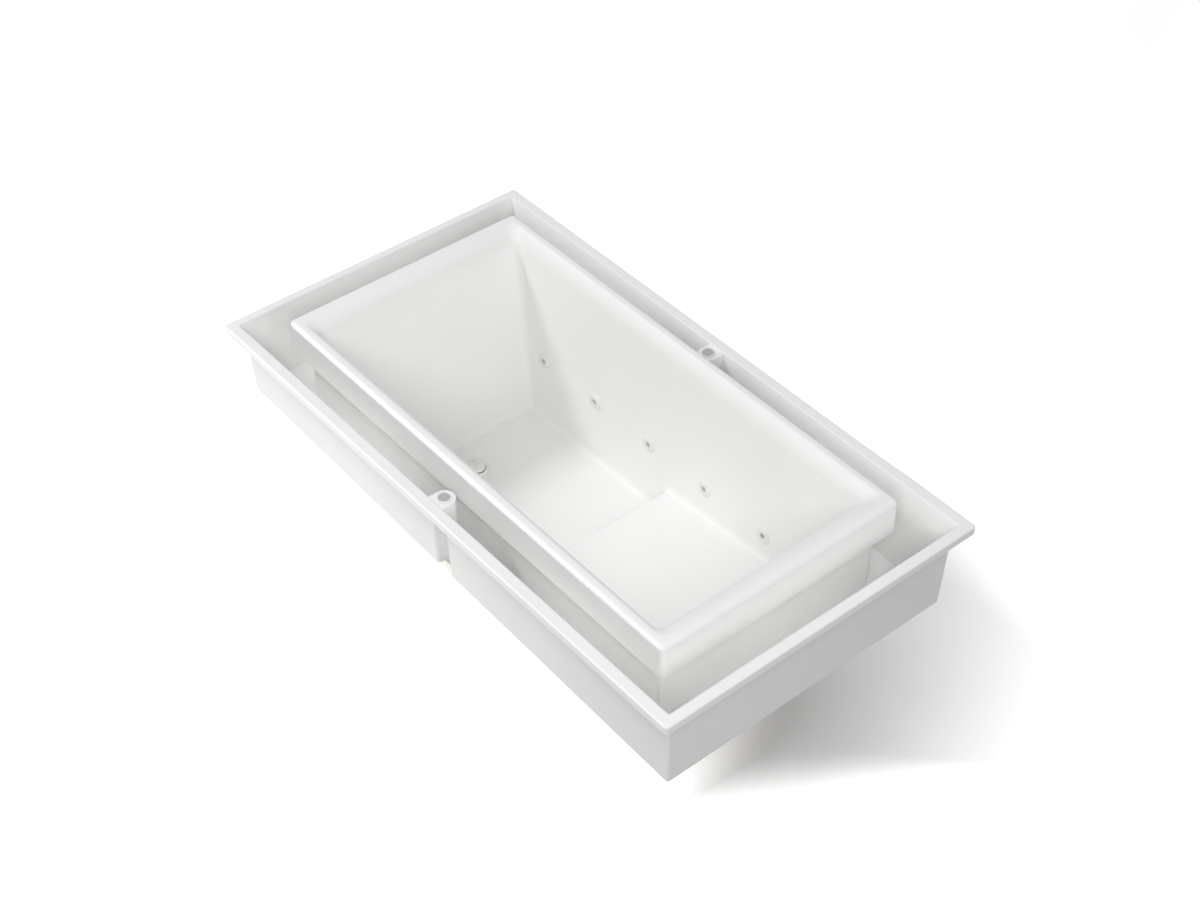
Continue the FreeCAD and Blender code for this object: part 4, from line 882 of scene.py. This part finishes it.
# %% [markdown]
# ## World
# The world is an even white sky that softens every shadow. As a lamp it is weaker than white, or
# the upward faces would burn out. Where it is looked at, straight or in a mirror, it is white.

# %% World
SKY = 0.40


def studio_world():
    world = bpy.data.worlds.new("studio")
    bpy.context.scene.world = world
    world.use_nodes = True
    tree = world.node_tree
    tree.nodes.clear()
    level = add_node(tree, "ShaderNodeMapRange", {},
                     {"Value": seen_directly(tree), "To Min": SKY, "To Max": 1.0})
    sky = add_node(tree, "ShaderNodeBackground", {},
                   {"Color": (1, 1, 1, 1), "Strength": level.outputs["Result"]})
    add_node(tree, "ShaderNodeOutputWorld", {}, {"Surface": sky.outputs[0]})


studio_world()
print("sky", SKY)

# %% [markdown]
# ## Lamps
# A lamp is described by the point it looks at, the way its light travels, how far back and how
# large it is, and how wide it spreads. The key stands off the near left corner: it throws the left
# rim's soft shadow over the foot well and lights the far wall. Only a fifth of it, the glint,
# mirrors in the acrylic, as a fine line along the far rim. A long low strip in front lights the
# near wall from below the flange, which keeps its light off the rims. Two wide fills on the
# camera's side reach into the trough. A faint, narrow one over the mouth lifts the bench, and six
# narrow strips do the same for the trough's channel, clear of the bosses with the buttons.

# %% Lamps
WIDE, NARROW = math.radians(180), math.radians(70)
Lamp = namedtuple("Lamp", "name aim travel distance size power spread mirrors lights_floor",
                  defaults=(WIDE, False, False))
MIDDLE = (0.0, 0.0, 0.5)
KEY_TRAVEL = (0.85, 0.5, -1.0)
LAMPS = [Lamp("key", MIDDLE, KEY_TRAVEL, 6.0, (1.2, 1.2), 92.0, lights_floor=True),
         Lamp("glint", MIDDLE, KEY_TRAVEL, 6.0, (1.2, 1.2), 23.0, mirrors=True, lights_floor=True),
         Lamp("front_strip", (-0.6, -0.48, 0.5), (0.12, 0.93, 0.2), 1.9, (2.0, 0.15), 24.0),
         Lamp("right", (0.9, 0.0, 0.6), (-0.95, 0.1, -0.25), 5.0, (2.0, 2.0), 50.0),
         Lamp("camera_side", MIDDLE, (-0.6, 0.5, -0.6), 5.0, (2.0, 2.0), 74.0),
         Lamp("over_mouth", (0.05, -0.05, 0.3), (0.0, 0.15, -1.0), 0.75, (0.9, 0.3), 0.16, NARROW)]
print("large soft boxes", len(LAMPS))

# %% Strips over the channel
DOWN = (0.0, 0.0, -1.0)
CHANNEL_X, CHANNEL_Y, CHANNEL_FLOOR = 0.85, 0.431, 0.47
OVER_CHANNEL = 0.2
CLEAR_OF_BOSS = 0.46
SIDE_STRIP, SIDE_POWER = (0.62, 0.05), 0.06
END_STRIP, END_POWER = (0.07, 0.8), 0.12
for side_x, side_y in QUADRANTS:
    aim = (side_x * CLEAR_OF_BOSS, side_y * CHANNEL_Y, CHANNEL_FLOOR)
    LAMPS.append(Lamp("channel_side", aim, DOWN, OVER_CHANNEL, SIDE_STRIP, SIDE_POWER, NARROW))
for side_x in (-1, 1):
    aim = (side_x * CHANNEL_X, 0.0, CHANNEL_FLOOR)
    LAMPS.append(Lamp("channel_end", aim, DOWN, OVER_CHANNEL, END_STRIP, END_POWER, NARROW))
print("with the strips", len(LAMPS))

# %% [markdown]
# ## Hanging the lamps
# Each lamp becomes an area light. Light linking keeps the fills off the floor: a collection that
# excludes the floor is named as the light's receiver. So the floor's shadow stays as deep as the
# key makes it. Most lamps are also hidden from mirrors, because their shapes would show as bright
# patches in the acrylic.

# %% Soft boxes
off_the_floor = bpy.data.collections.new("off_the_floor")
off_the_floor.objects.link(floor)
off_the_floor.collection_objects[0].light_linking.link_state = "EXCLUDE"


def soft_box(lamp):
    light = bpy.data.lights.new(lamp.name, "AREA")
    light.shape = "ELLIPSE"
    light.size, light.size_y = lamp.size
    light.energy = lamp.power
    light.spread = lamp.spread
    holder = bpy.data.objects.new(lamp.name, light)
    travel = Vector(lamp.travel).normalized()
    turned = travel.to_track_quat("-Z", "Y").to_matrix().to_4x4()
    holder.matrix_world = Matrix.Translation(Vector(lamp.aim) - lamp.distance * travel) @ turned
    holder.visible_camera = False
    holder.visible_glossy = lamp.mirrors
    if not lamp.lights_floor:
        holder.light_linking.receiver_collection = off_the_floor
    bpy.context.scene.collection.objects.link(holder)


for lamp in LAMPS:
    soft_box(lamp)
print("soft boxes", len(LAMPS))

# %% [markdown]
# ## Camera
# The camera's angle, distance and lens were solved from the photograph: the bath's straight edges
# give three vanishing points, and those fix where the camera stood. It looks at a point in the
# flange's plane, shifted a little across and down, and it is rolled by a fraction of a degree.

# %% Camera
AZIMUTH = math.radians(50.70)
ELEVATION = math.radians(42.516)
ROLL = math.radians(-0.295)
FOCUS = Vector((0.0, 0.0, 0.661))
ACROSS, ALONG_UP, DISTANCE = 0.0551, -0.0812, 5.4827
LENS_MM, SENSOR_MM = 61.5, 36.0
right = Vector((math.cos(AZIMUTH), math.sin(AZIMUTH), 0.0))
back = Vector((math.sin(AZIMUTH) * math.cos(ELEVATION), -math.cos(AZIMUTH) * math.cos(ELEVATION),
               math.sin(ELEVATION)))
up = back.cross(right)
turned_right = right * math.cos(ROLL) + up * math.sin(ROLL)
turned_up = back.cross(turned_right)
lens = bpy.data.cameras.new("photo_camera")
lens.lens = LENS_MM
lens.sensor_width = SENSOR_MM
camera = bpy.data.objects.new("photo_camera", lens)
axes = Matrix((turned_right, turned_up, back)).transposed().to_4x4()
camera.matrix_world = Matrix.Translation(FOCUS + right * ACROSS + up * ALONG_UP + back * DISTANCE) @ axes
bpy.context.scene.collection.objects.link(camera)
bpy.context.scene.camera = camera
bpy.context.scene.view_settings.view_transform = "Standard"
print("camera", camera.matrix_world.translation)
